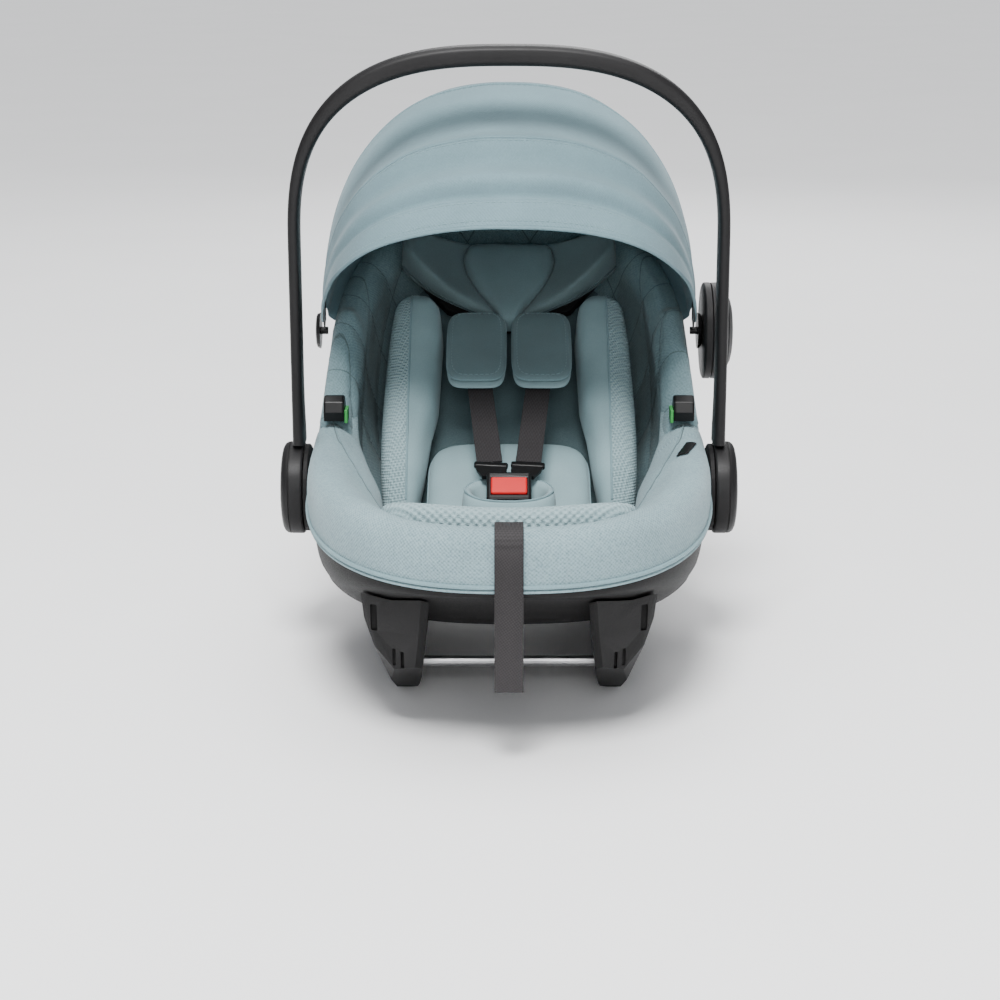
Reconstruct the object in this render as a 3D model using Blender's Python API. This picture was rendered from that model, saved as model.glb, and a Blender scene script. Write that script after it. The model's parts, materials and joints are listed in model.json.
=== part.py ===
"""An infant car seat: a rear-facing carrier shell on two rocker runners, with a carrying handle,
a folding canopy, a sliding headrest, a three-point harness and a side-impact disc.

Metres, +Z up, +Y towards the head end, +X to the right as seen from the foot end.
The origin is the middle of the footprint on the floor. Every piece hangs below the hub_axis empty,
so places are measured from the handle's hinge line unless a comment says otherwise.
"""

from math import asin, atan2, copysign, cos, pi, radians, sin, sqrt

import bmesh
import bpy
from mathutils import Matrix, Vector

# Driving dimensions
HUB_HEIGHT = 0.160
HUB_Y = -0.0010
GAP = 0.0004

HALF_WIDTH = 0.196
HALF_LENGTH = 0.3325
RIM_CENTRE_Y = -0.0025
RIM_POWER = 2.5
HEAD_POWER = 3.2
HEAD_TAPER = 0.030
RIM_STEPS = 40
BOWL_STEPS = 6
BOWL_POWER = 2.6
BAND = 0.062
INSET_LIFT = 0.6
RIM_HEIGHTS = (
    (-0.335, 0.048), (-0.100, 0.053), (0.040, 0.062), (0.092, 0.102),
    (0.150, 0.146), (0.240, 0.190), (0.330, 0.230),
)
KEEL_HEIGHTS = (
    (-0.335, -0.016), (-0.290, -0.044), (-0.200, -0.090), (-0.060, -0.122),
    (0.060, -0.126), (0.160, -0.098), (0.250, -0.030), (0.330, 0.070),
)
ROLL_WIDTHS = (
    (-0.335, 0.060), (-0.200, 0.066), (-0.100, 0.070), (0.000, 0.054),
    (0.050, 0.042), (0.130, 0.032), (0.330, 0.032),
)
SKIRT_DROP = 0.052
SKIRT_THICK = 0.0044
ROLL_UNDER = 0.030
ROLL_CORE = 0.027
EDGE_DROP = 0.0335
SHELL_INSETS = (0.0062, 0.0100)
LINER_INSETS = (0.0128, 0.0235)
LINING_INSETS = (0.0300, 0.0360)
CUSHION_INSET = 0.0390
ROLL_INSET = 0.0740

RUNNER_LEVELS = (
    # height, front end, rear end, inner side, outer side
    (-0.160, -0.095, 0.100, 0.089, 0.115),
    (-0.1565, -0.150, 0.150, 0.087, 0.117),
    (-0.145, -0.205, 0.190, 0.084, 0.119),
    (-0.128, -0.238, 0.212, 0.081, 0.121),
    (-0.105, -0.256, 0.222, 0.078, 0.124),
    (-0.060, -0.272, 0.216, 0.073, 0.129),
    (-0.012, -0.284, 0.190, 0.069, 0.134),
)
LATCH_FRONT_Y = -0.165
LATCH_REAR_Y = 0.165
LATCH_Z = -0.125

HANDLE_OUTER = 0.214
HANDLE_INNER = 0.203
HANDLE_SHOULDER = 0.245
HANDLE_TOP = 0.435
HANDLE_TOP_THICK = 0.020
HANDLE_DEPTH = 0.038
HANDLE_POWER = 2.7
HUB_RADIUS = 0.046
HUB_FACE = 0.225
HUB_FLOOR = 0.209
BUTTON_RADIUS = 0.0176
BUTTON_BORE = 0.0182
BUTTON_PROUD = 0.0012
PIN_RADIUS = 0.006

CANOPY_Y = 0.130
CANOPY_Z = 0.134
CANOPY_POWER = 2.4
CANOPY_EYE = 0.009
CANOPY_PIN = 0.004
BOW_THICK = 0.0018
BOW_WIDTH = 0.010
PANEL_THICK = 0.0018
PANEL_LEAST_RADIUS = 0.048
PANEL_CLEARANCE = 0.0016
BOW_ANGLES = {"rear": 84, "middle": 56, "front": 33}
BOW_HALF_WIDTHS = {"rear": 0.1888, "middle": 0.1911, "front": 0.1934}
BOW_RADII = {"rear": 0.2440, "middle": 0.2485, "front": 0.2530}

DISC_RADIUS = 0.050
DISC_FACE = 0.2320

BACK_LEAN = radians(39)
BIGHT_Y = -0.044
BIGHT_Z = -0.080
SEAT_RISE = radians(28.5)

SEAT_LENGTH = 0.205

BUCKLE_ALONG = 0.0272
BUCKLE_OUT = 0.1066
TONGUE_X = 0.0175
TONGUE_ALONG = 0.0510
TONGUE_OUT = 0.1050
STRAP_TOP_X = 0.0360
STRAP_TOP_ALONG = 0.262
STRAP_LEAN = 0.296
SHOULDER_PAD = (0.061, 0.126, 0.013)
SHOULDER_PAD_X = 0.0335
SHOULDER_PAD_ALONG = 0.232
ADJUSTER_Y = -0.2585
ADJUSTER_Z = 0.0050
ADJUSTER_STRAP = (
    (0, -0.2600, 0.0122), (0, -0.2660, 0.0215), (0, -0.2760, 0.0335), (0, -0.2900, 0.0440),
    (0, -0.3050, 0.0498), (0, -0.3190, 0.0512), (0, -0.3310, 0.0470), (0, -0.3370, 0.0370),
    (0, -0.3385, 0.0200), (0, -0.3385, -0.0200), (0, -0.3382, -0.0600), (0, -0.3378, -0.0930),
)

RUNNER_FLOOR = -HUB_HEIGHT
HULL_CLEARANCE = 0.003
WEBBING = 0.025
WEBBING_THICK = 0.0016

SIDES = {"left": -1, "right": 1}

# Materials: colour, roughness, metallic
MATERIALS = {
    "fabric_melange": ((0.402, 0.510, 0.538), 0.90, 0.0),
    "fabric_canopy": ((0.305, 0.402, 0.440), 0.80, 0.0),
    "fabric_lining": ((0.150, 0.215, 0.232), 0.90, 0.0),
    "fabric_insert": ((0.262, 0.352, 0.378), 0.88, 0.0),
    "knit_mesh": ((0.235, 0.320, 0.345), 0.92, 0.0),
    "shell_plastic": ((0.020, 0.020, 0.022), 0.62, 0.0),
    "handle_plastic": ((0.045, 0.045, 0.048), 0.50, 0.0),
    "gloss_plastic": ((0.012, 0.012, 0.013), 0.30, 0.0),
    "grip_rubber": ((0.035, 0.035, 0.037), 0.75, 0.0),
    "webbing": ((0.080, 0.070, 0.076), 0.85, 0.0),
    "red_plastic": ((0.640, 0.055, 0.050), 0.35, 0.0),
    "green_plastic": ((0.090, 0.420, 0.120), 0.40, 0.0),
    "liner_foam": ((0.120, 0.120, 0.125), 0.95, 0.0),
    "steel": ((0.520, 0.520, 0.530), 0.35, 1.0),
}


def clear_scene():
    for obj in list(bpy.data.objects):
        bpy.data.objects.remove(obj, do_unlink=True)


def make_material(name, colour, roughness, metallic):
    made = bpy.data.materials.new(name)
    made.use_nodes = True
    shader = made.node_tree.nodes["Principled BSDF"]
    shader.inputs["Base Color"].default_value = (*colour, 1.0)
    shader.inputs["Roughness"].default_value = roughness
    shader.inputs["Metallic"].default_value = metallic
    return made


def empty_at(name, parent, location, turn_x=0.0):
    made = bpy.data.objects.new(name, None)
    made.location = location
    made.rotation_euler = (turn_x, 0.0, 0.0)
    made.parent = parent
    bpy.context.scene.collection.objects.link(made)
    return made


def object_from(name, form, material, parent, location=(0.0, 0.0, 0.0), smooth_to=35):
    """An object from a bmesh, with its faces turned outwards."""
    bmesh.ops.recalc_face_normals(form, faces=form.faces)
    mesh = bpy.data.meshes.new(name)
    form.to_mesh(mesh)
    form.free()
    mesh.shade_smooth()
    mesh.set_sharp_from_angle(angle=radians(smooth_to))
    made = bpy.data.objects.new(name, mesh)
    made.location = location
    made.parent = parent
    if material:
        made.data.materials.append(bpy.data.materials[material])
    bpy.context.scene.collection.objects.link(made)
    return made


def as_cutter(obj):
    obj.hide_render = True
    obj.display_type = "WIRE"
    return obj


def cut(obj, cutter, operation="DIFFERENCE"):
    modifier = obj.modifiers.new(operation.lower() + "_" + cutter.name, "BOOLEAN")
    modifier.operation = operation
    modifier.solver = "EXACT"
    modifier.object = cutter
    return obj


def curve_through(points, at):
    """The height at one place on a smooth curve through a few hand-chosen points."""
    places = [place for place, _ in points]
    at = min(max(at, places[0]), places[-1])
    last = len(points) - 1
    i = max(k for k in range(last) if places[k] <= at)
    before, after = max(i - 1, 0), min(i + 2, last)
    span = places[i + 1] - places[i]
    slope_0 = (points[i + 1][1] - points[before][1]) / (places[i + 1] - places[before]) * span
    slope_1 = (points[after][1] - points[i][1]) / (places[after] - places[i]) * span
    t = (at - places[i]) / span
    start, end = points[i][1], points[i + 1][1]
    rise = (2 * t**3 - 3 * t**2 + 1) * start + (3 * t**2 - 2 * t**3) * end
    return rise + (t**3 - 2 * t**2 + t) * slope_0 + (t**3 - t**2) * slope_1


def signed_power(value, power):
    return copysign(abs(value) ** power, value)


def mix(start, end, share):
    return start + (end - start) * share


# Closed forms

def loft(rings, closed=False):
    """A closed form through rings of equal length. It is capped, or a torus when closed."""
    form = bmesh.new()
    rows = [[form.verts.new(point) for point in ring] for ring in rings]
    if closed:
        rows.append(rows[0])
    for first, second in zip(rows, rows[1:]):
        count = len(first)
        for k in range(count):
            form.faces.new((first[k], first[(k + 1) % count], second[(k + 1) % count], second[k]))
    if not closed:
        form.faces.new(rows[0])
        form.faces.new(rows[-1])
    return form


def grid_plate(outer, inner):
    """A closed plate between two equal grids of points, with its four edges joined."""
    form = bmesh.new()
    sheets = [[[form.verts.new(point) for point in row] for row in grid] for grid in (outer, inner)]
    for sheet in sheets:
        for first, second in zip(sheet, sheet[1:]):
            for k in range(len(first) - 1):
                form.faces.new((first[k], first[k + 1], second[k + 1], second[k]))
    borders = [border_of(sheet) for sheet in sheets]
    count = len(borders[0])
    for k in range(count):
        following = (k + 1) % count
        form.faces.new(
            (borders[0][k], borders[0][following], borders[1][following], borders[1][k])
        )
    return form


def border_of(sheet):
    right = [row[-1] for row in sheet[1:-1]]
    left = [row[0] for row in reversed(sheet[1:-1])]
    return list(sheet[0]) + right + list(reversed(sheet[-1])) + left


def turned(profile, sides=28):
    """A form turned about the X axis from (x, radius) points. A radius of 0 makes a point."""
    form = bmesh.new()
    rows = []
    for x, radius in profile:
        count = sides if radius > 0 else 1
        angles = [2 * pi * k / count for k in range(count)]
        rows.append([form.verts.new((x, radius * sin(a), radius * cos(a))) for a in angles])
    for first, second in zip(rows, rows[1:]):
        for k in range(sides):
            corners = [first[k % len(first)], first[(k + 1) % len(first)]]
            corners += [second[(k + 1) % len(second)], second[k % len(second)]]
            corners = list(dict.fromkeys(corners))
            if len(corners) > 2:
                form.faces.new(corners)
    return form


def turned_ring(profile, sides=28):
    """A form turned about the X axis whose profile closes on itself, so it has a bore."""
    rings = []
    for k in range(sides):
        a = 2 * pi * k / sides
        rings.append([(x, radius * sin(a), radius * cos(a)) for x, radius in profile])
    return loft(rings, closed=True)


def block(size, bevel=0.0, segments=2):
    form = bmesh.new()
    bmesh.ops.create_cube(form, size=1.0)
    bmesh.ops.scale(form, vec=size, verts=form.verts)
    if bevel:
        bmesh.ops.bevel(
            form, geom=form.edges[:], offset=bevel, segments=segments, profile=0.5, affect="EDGES"
        )
    return form


def slab(outline, low, high, axis="X"):
    """A straight-sided form from a flat outline. Axis X takes (y, z) points, and Z (x, y)."""
    def at(first, second, level):
        return (level, first, second) if axis == "X" else (first, second, level)

    return loft([[at(a, b, level) for a, b in outline] for level in (low, high)])


def pillow(size, power=2.6, around=20, levels=8, flat=0.0):
    """A rounded cushion: a superellipsoid, with its underside flattened when flat is over 0."""
    form = bmesh.new()
    half = [side / 2 for side in size]
    rows = []
    for j in range(levels + 1):
        v = -pi / 2 + pi * j / levels
        width = abs(cos(v)) ** (2 / power) if 0 < j < levels else 0.0
        z = half[2] * signed_power(sin(v), 2 / power)
        z = max(z, -half[2] * (1 - flat)) if flat else z
        count = around if width else 1
        row = []
        for k in range(count):
            u = 2 * pi * k / around
            x = half[0] * width * signed_power(cos(u), 2 / power)
            y = half[1] * width * signed_power(sin(u), 2 / power)
            row.append(form.verts.new((x, y, z)))
        rows.append(row)
    for first, second in zip(rows, rows[1:]):
        for k in range(around):
            corners = [first[k % len(first)], first[(k + 1) % len(first)]]
            corners += [second[(k + 1) % len(second)], second[k % len(second)]]
            corners = list(dict.fromkeys(corners))
            if len(corners) > 2:
                form.faces.new(corners)
    return form


def ribbon(path, width, thick):
    """Flat webbing along a path of (x, y, z) points that lies in planes of constant X."""
    points = [Vector(point) for point in path]
    rings = []
    for i, point in enumerate(points):
        along = points[min(i + 1, len(points) - 1)] - points[max(i - 1, 0)]
        across = Vector((1, 0, 0)) - along.normalized() * along.normalized().x
        across.normalize()
        up = across.cross(along.normalized()) * (thick / 2)
        side = across * (width / 2)
        rings.append([point - side - up, point + side - up, point + side + up, point - side + up])
    return loft(rings)


# The bowl that the shell, its liner and its lining follow

def rim_plan(turn, inset=0.0):
    """A point on the rim seen from above: turn is 0 at the right side and a quarter at the head."""
    power = HEAD_POWER if sin(turn) > 0 else RIM_POWER
    x = (HALF_WIDTH - inset) * signed_power(cos(turn), 2 / power)
    y = RIM_CENTRE_Y + (HALF_LENGTH - inset) * signed_power(sin(turn), 2 / power)
    share = min(max(y / CANOPY_Y, 0.0), 1.0)
    return x * (1 - HEAD_TAPER * share * share * (3 - 2 * share)), y


def rim_height(turn):
    return curve_through(RIM_HEIGHTS, rim_plan(turn)[1])


def even_turns(start, end, steps, fine=1440):
    """Turns between two turns of the rim, spaced evenly along its length."""
    turns = [mix(start, end, k / fine) for k in range(fine + 1)]
    places = [Vector((*rim_plan(turn), rim_height(turn))) for turn in turns]
    lengths = [0.0]
    for first, second in zip(places, places[1:]):
        lengths.append(lengths[-1] + (second - first).length)
    picked, k = [], 0
    for step in range(steps + 1):
        while k < fine and lengths[k] < lengths[-1] * step / steps:
            k += 1
        picked.append(turns[k])
    return picked


def bowl_point(turn, fall, inset):
    """A point on the bowl: fall is 0 where it leaves the upright band and 1 at its lowest."""
    angle = fall * pi / 2
    shrink = cos(angle) ** (2 / BOWL_POWER) if fall < 1 else 0.0
    drop = sin(angle) ** (2 / BOWL_POWER)
    x, y = rim_plan(turn, inset)
    y = RIM_CENTRE_Y + (y - RIM_CENTRE_Y) * shrink
    top = rim_height(turn) - BAND + inset * INSET_LIFT
    return (x * shrink, y, top + (curve_through(KEEL_HEIGHTS, y) + inset - top) * drop)


def bowl_rows(inset, top_drop):
    turns = even_turns(0.0, 2 * pi, RIM_STEPS)[:-1]
    edge = [(*rim_plan(turn, inset), rim_height(turn) - top_drop) for turn in turns]
    rows = [edge]
    for k in range(BOWL_STEPS):
        rows.append([bowl_point(turn, k / BOWL_STEPS, inset) for turn in turns])
    return rows, bowl_point(0.0, 1.0, inset)


def bowl_surface(form, inset, top_drop):
    rows, lowest = bowl_rows(inset, top_drop)
    rows = [[form.verts.new(point) for point in row] for row in rows]
    bottom = form.verts.new(lowest)
    for first, second in zip(rows, rows[1:]):
        for k in range(RIM_STEPS):
            following = (k + 1) % RIM_STEPS
            form.faces.new((first[k], first[following], second[following], second[k]))
    for k in range(RIM_STEPS):
        form.faces.new((rows[-1][k], rows[-1][(k + 1) % RIM_STEPS], bottom))
    return rows[0]


def bowl_shell(insets, top_drop):
    form = bmesh.new()
    outer = bowl_surface(form, insets[0], top_drop)
    inner = bowl_surface(form, insets[1], top_drop)
    for k in range(RIM_STEPS):
        following = (k + 1) % RIM_STEPS
        form.faces.new((outer[k], outer[following], inner[following], inner[k]))
    return form


def rim_prism(inset):
    """An upright block with the rim's outline."""
    turns = even_turns(0.0, 2 * pi, RIM_STEPS)[:-1]
    return loft([[(*rim_plan(turn, inset), z) for turn in turns] for z in (-0.2, 0.3)])


def bowl_plug(inset):
    """The bowl's inside as one block that reaches high above the rim."""
    form = bmesh.new()
    form.faces.new(bowl_surface(form, inset, -0.30))
    return form


# Shell, liner and runners

def add_shell(hub):
    object_from("shell_bucket", bowl_shell(SHELL_INSETS, EDGE_DROP), "shell_plastic", hub)
    liner = bowl_shell(LINER_INSETS, EDGE_DROP)
    object_from("foam_liner", liner, "liner_foam", hub)
    lining = bowl_shell(LINING_INSETS, EDGE_DROP + 0.008)
    object_from("seat_lining", lining, "fabric_lining", hub)


def roll_profile(turn):
    """The cover's section as (inset, height over the rim): a skirt outside and a roll on top."""
    width = curve_through(ROLL_WIDTHS, rim_plan(turn)[1])
    sink = (width - 0.030) * 0.62
    inner_top = -0.010 - sink
    return (
        (0.0006, -SKIRT_DROP), (0.0, -0.036), (0.0012, -0.016), (0.0065, -0.005),
        (0.0160, 0.0), (mix(0.016, width, 0.45), -0.30 * sink),
        (mix(0.016, width, 0.82), 0.72 * inner_top),
        (width, inner_top - 0.004), (width, -ROLL_UNDER - sink - 0.002),
        (ROLL_CORE, -ROLL_UNDER), (SKIRT_THICK, -ROLL_UNDER), (SKIRT_THICK, -SKIRT_DROP),
    )


def cover_piece(start, end, steps):
    rings = []
    for turn in even_turns(start, end, steps):
        height = rim_height(turn)
        rings.append([(*rim_plan(turn, inset), height + z) for inset, z in roll_profile(turn)])
    return loft(rings)


def add_covers(hub):
    """The cover is one sewn piece; its four panels meet at seams."""
    gap = radians(0.1)
    seam_front = radians(20)
    seam_head = radians(40)
    spans = {
        "cover_front": (pi + seam_front + gap, 2 * pi - seam_front - gap, 16),
        "cover_side_right": (-seam_front + gap, seam_head - gap, 9),
        "cover_head": (seam_head + gap, pi - seam_head - gap, 10),
        "cover_side_left": (pi - seam_head + gap, pi + seam_front - gap, 9),
    }
    for name, (start, end, steps) in spans.items():
        object_from(name, cover_piece(start, end, steps), "fabric_melange", hub)


def runner_ring(level, side):
    height, front, rear, inner, outer = level
    corner = 0.007
    lean = 0.018 * (height - RUNNER_FLOOR) / 0.15
    outline = (
        (inner, front - lean + corner), (inner + corner, front - lean),
        (outer - corner, front + lean), (outer, front + lean + corner),
        (outer, rear - lean - corner), (outer - corner, rear - lean),
        (inner + corner, rear), (inner, rear - corner),
    )
    return [(side * x, y, height) for x, y in outline]


def add_runners(hub):
    hull = as_cutter(object_from("hull_cutter", bowl_plug(SHELL_INSETS[0] - HULL_CLEARANCE), None, hub))
    slot = as_cutter(object_from("slot_cutters", slot_cutters(), None, hub))
    for name, side in SIDES.items():
        runner = loft([runner_ring(level, side) for level in RUNNER_LEVELS])
        runner = object_from("runner_" + name, runner, "shell_plastic", hub)
        cut(runner, hull)
        cut(runner, slot)
    for name, y, z in (("front", LATCH_FRONT_Y, LATCH_Z), ("rear", LATCH_REAR_Y, LATCH_Z)):
        bar = turned([(-0.0925, 0), (-0.0925, 0.005), (0.0925, 0.005), (0.0925, 0)], 14)
        object_from("latch_bar_" + name, bar, "steel", hub, (0, y, z))


def slot_cutters():
    """Sockets for the two latch bars, and two ribs' worth of slots in each runner's outer side."""
    form = bmesh.new()
    for y in (LATCH_FRONT_Y, LATCH_REAR_Y):
        add_box(form, (0.186, 0.0116, 0.0116), (0, y, LATCH_Z))
    for side in SIDES.values():
        for k, y in enumerate((-0.130, -0.100, -0.070)):
            add_box(form, (0.016, 0.012, 0.026), (side * 0.126, y, -0.1265 + 0.0012 * k))
    return form


def add_box(form, size, centre):
    place = Matrix.Translation(centre) @ Matrix.Diagonal((*size, 1.0))
    bmesh.ops.create_cube(form, size=1.0, matrix=place)


# Handle

def arch_point(angle, half_width, height, depth):
    x = half_width * signed_power(cos(angle), 2 / HANDLE_POWER)
    z = HANDLE_SHOULDER + height * signed_power(sin(angle), 2 / HANDLE_POWER)
    return Vector((x, depth, z))


def arch_ring(outer, inner, chamfer=0.0035):
    """An eight-cornered section of the handle between its outer and inner outlines."""
    across = (outer - inner).normalized() * chamfer
    half = HANDLE_DEPTH / 2
    deep = Vector((0, half, 0))
    nick = Vector((0, chamfer * 1.6, 0))
    return [
        outer - deep + nick, outer + deep - nick, outer + deep - across, inner + deep + across,
        inner + deep - nick, inner - deep + nick, inner - deep + across, outer - deep - across,
    ]


def arm_foot_ring(side):
    foot = HUB_RADIUS + GAP
    return arch_ring(Vector((side * HANDLE_OUTER, 0, foot)), Vector((side * HANDLE_INNER, 0, foot)))


def handle_rings():
    rings = [arm_foot_ring(1)]
    steps = 24
    inner_height = HANDLE_TOP - HANDLE_TOP_THICK - HANDLE_SHOULDER
    for k in range(steps + 1):
        angle = pi * k / steps
        outer = arch_point(angle, HANDLE_OUTER, HANDLE_TOP - HANDLE_SHOULDER, 0)
        inner = arch_point(angle, HANDLE_INNER, inner_height, 0)
        rings.append(arch_ring(outer, inner))
    rings.append(arm_foot_ring(-1))
    return rings


def add_handle(axis):
    object_from("handle_arch", loft(handle_rings()), "handle_plastic", axis)
    for name, side in SIDES.items():
        drum = turned_ring([
            (side * (HANDLE_INNER + GAP), PIN_RADIUS + GAP),
            (side * (HANDLE_INNER + GAP), HUB_RADIUS - 0.001),
            (side * (HANDLE_INNER + 0.0014), HUB_RADIUS),
            (side * (HUB_FACE - 0.007), HUB_RADIUS),
            (side * (HUB_FACE - 0.002), HUB_RADIUS - 0.003),
            (side * HUB_FACE, HUB_RADIUS - 0.009),
            (side * HUB_FACE, BUTTON_BORE),
            (side * HUB_FLOOR, BUTTON_BORE),
            (side * HUB_FLOOR, PIN_RADIUS + GAP),
        ])
        object_from("handle_hub_" + name, drum, "handle_plastic", axis)


def add_release_buttons(axis):
    """A button in each hub's bore, with room to travel inwards."""
    for name, side in SIDES.items():
        face = HUB_FACE + BUTTON_PROUD
        button = turned([
            (side * 0.2135, 0), (side * 0.2135, BUTTON_RADIUS - 0.001),
            (side * 0.2145, BUTTON_RADIUS), (side * (face - 0.003), BUTTON_RADIUS),
            (side * (face - 0.001), BUTTON_RADIUS - 0.002), (side * face, 0.008), (side * face, 0),
        ], 20)
        object_from("release_button_" + name, button, "grip_rubber", axis)


def add_hub_mounts(hub):
    for name, side in SIDES.items():
        low, high = side * (HALF_WIDTH + GAP), side * (HANDLE_INNER - GAP)
        housing = turned_ring([
            (low, PIN_RADIUS + GAP), (low, 0.040), (mix(low, high, 0.3), 0.0435),
            (high, 0.0435), (high, PIN_RADIUS + GAP),
        ])
        object_from("hub_housing_" + name, housing, "shell_plastic", hub)
        reach = side * HUB_FLOOR
        pin = turned([(low, 0), (low, PIN_RADIUS), (reach, PIN_RADIUS), (reach, 0)], 12)
        object_from("pivot_pin_" + name, pin, "steel", hub)


# Canopy

def canopy_profile(half_width, radius, least, count):
    """Points of the canopy's outline from one side to the other, as (x, distance from pivot)."""
    furthest = asin((1 - (least / radius) ** CANOPY_POWER) ** 0.5)
    points = []
    for k in range(count + 1):
        angle = mix(-furthest, furthest, k / count)
        x = half_width * signed_power(sin(angle), 2 / CANOPY_POWER)
        points.append((x, radius * abs(cos(angle)) ** (2 / CANOPY_POWER)))
    return points


def fan_point(x, radius, degrees):
    """A point at a canopy angle: 0 points towards the feet, 90 straight up."""
    angle = radians(degrees)
    return (x, -radius * cos(angle), radius * sin(angle))


def canopy_panel(half_width, radius, start, end, count=18, steps=3):
    grids = []
    for extra in (PANEL_THICK, 0.0):
        profile = canopy_profile(half_width + extra, radius + extra, PANEL_LEAST_RADIUS, count)
        angles = [mix(start, end, k / steps) for k in range(steps + 1)]
        grids.append([[fan_point(x, r, angle) for x, r in profile] for angle in angles])
    return grid_plate(*grids)


def bow_strip(half_width, radius, degrees):
    """A bow: a flat strip bent to the canopy's outline, its width across the outline's plane."""
    angle = radians(degrees)
    across = Vector((0, sin(angle), cos(angle))) * (BOW_WIDTH / 2)
    outer = canopy_profile(half_width + BOW_THICK, radius + BOW_THICK, 0.006, 22)
    inner = canopy_profile(half_width, radius, 0.006, 22)
    rings = []
    for (x_out, r_out), (x_in, r_in) in zip(outer, inner):
        far = Vector(fan_point(x_out, r_out, degrees))
        near = Vector(fan_point(x_in, r_in, degrees))
        rings.append([far - across, far + across, near + across, near - across])
    return loft(rings)


def bow_eye(half_width, side):
    low, high = side * half_width, side * (half_width + BOW_THICK)
    return turned([(low, 0), (low, CANOPY_EYE), (high, CANOPY_EYE), (high, 0)], 14)


def add_bow(name, parent):
    half_width = BOW_HALF_WIDTHS[name]
    strip = bow_strip(half_width, BOW_RADII[name], BOW_ANGLES[name])
    bow = object_from(f"canopy_bow_{name}", strip, "handle_plastic", parent)
    for label, side in SIDES.items():
        eye = object_from(f"eye_{name}_{label}", bow_eye(half_width, side), None, parent)
        cut(bow, as_cutter(eye), "UNION")
    bore = turned([(-0.21, 0), (-0.21, CANOPY_PIN + GAP), (0.21, CANOPY_PIN + GAP), (0.21, 0)], 12)
    cut(bow, as_cutter(object_from("bore_" + name, bore, None, parent)))


def add_canopy(hub, axes):
    """Three bows, each with the fabric panel that trails behind it, and a panel fixed to the shell."""
    spans = {"rear": (85, 106), "middle": (57, 80), "front": (31.5, 53)}
    for name, (start, end) in spans.items():
        add_bow(name, axes[name])
        half_width = BOW_HALF_WIDTHS[name] + BOW_THICK + PANEL_CLEARANCE
        radius = BOW_RADII[name] + BOW_THICK + PANEL_CLEARANCE
        panel = canopy_panel(half_width, radius, start, end)
        object_from("canopy_panel_" + name, panel, "fabric_canopy", axes[name])
    fixed = canopy_panel(0.1868, 0.2400, 107, 149, steps=4)
    object_from("canopy_panel_fixed", fixed, "fabric_canopy", axes["fixed"])
    for name, side in SIDES.items():
        clip = object_from("canopy_clip_" + name, clip_form(side), "gloss_plastic", axes["fixed"])


def clip_form(side):
    """The pivot pin with its outer cap, one turned piece."""
    return turned([
        (side * 0.1882, 0), (side * 0.1882, CANOPY_PIN), (side * 0.1956, CANOPY_PIN),
        (side * 0.1956, 0.019), (side * 0.1990, 0.0175), (side * 0.2000, 0.0150), (side * 0.2000, 0),
    ], 20)


# Side-impact disc

def add_disc(axis):
    base = turned([
        (0.2004, 0), (0.2004, DISC_RADIUS - 0.003), (0.2015, DISC_RADIUS),
        (0.2085, DISC_RADIUS), (0.2085, 0),
    ], 32)
    object_from("impact_disc_base", base, "handle_plastic", axis)
    dome = turned([
        (0.2089, 0), (0.2089, DISC_RADIUS), (0.2200, DISC_RADIUS), (0.2235, DISC_RADIUS - 0.003),
        (0.2245, 0.039), (0.2285, 0.034), (DISC_FACE, 0.024), (DISC_FACE, 0),
    ], 32)
    object_from("impact_disc_cover", dome, "handle_plastic", axis)


# Seat inside: these are built in the back frame (x, along the back, out of the back)

def seat_place(along, out):
    """A point over the seat: along runs forward from the bight, out stands off its surface."""
    y = BIGHT_Y - along * cos(SEAT_RISE) + out * sin(SEAT_RISE)
    z = BIGHT_Z + along * sin(SEAT_RISE) + out * cos(SEAT_RISE)
    return y, z


def back_place(along, out):
    y = BIGHT_Y + along * cos(BACK_LEAN) - out * sin(BACK_LEAN)
    z = BIGHT_Z + along * sin(BACK_LEAN) + out * cos(BACK_LEAN)
    return y, z


def add_cushions(hub, seat_frame):
    plug = as_cutter(object_from("seat_plug", bowl_plug(CUSHION_INSET), None, hub))
    inner = as_cutter(object_from("roll_plug", rim_prism(ROLL_INSET), None, hub))
    seat = [seat_place(0.004, 0.0), seat_place(SEAT_LENGTH, 0.0), seat_place(SEAT_LENGTH, -0.16)]
    seat += [seat_place(0.07, -0.16), (BIGHT_Y - 0.004, -0.16)]
    seat = object_from("seat_cushion", slab(seat, -0.112, 0.112), "fabric_lining", hub)
    cut(seat, plug, "INTERSECT")
    cut(seat, inner, "INTERSECT")
    back = [back_place(0.004, 0.0), (BIGHT_Y + 0.004, -0.16), back_place(0.20, -0.12)]
    back += [back_place(0.425, -0.12), back_place(0.425, 0.0)]
    back = object_from("back_cushion", slab(back, -0.118, 0.118), "fabric_lining", hub)
    cut(back, plug, "INTERSECT")
    lip = pillow((0.180, 0.040, 0.028), power=3.2, levels=6)
    object_from("front_lip", lip, "knit_mesh", seat_frame, (0, -0.184, 0.0150))
    pad = object_from("base_pad", pillow((0.160, 0.146, 0.034), power=3.0, levels=6), "fabric_insert", hub)
    pad.location = (0, -0.013, -0.003)
    pad.rotation_euler = (radians(21.5), 0, 0)


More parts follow.
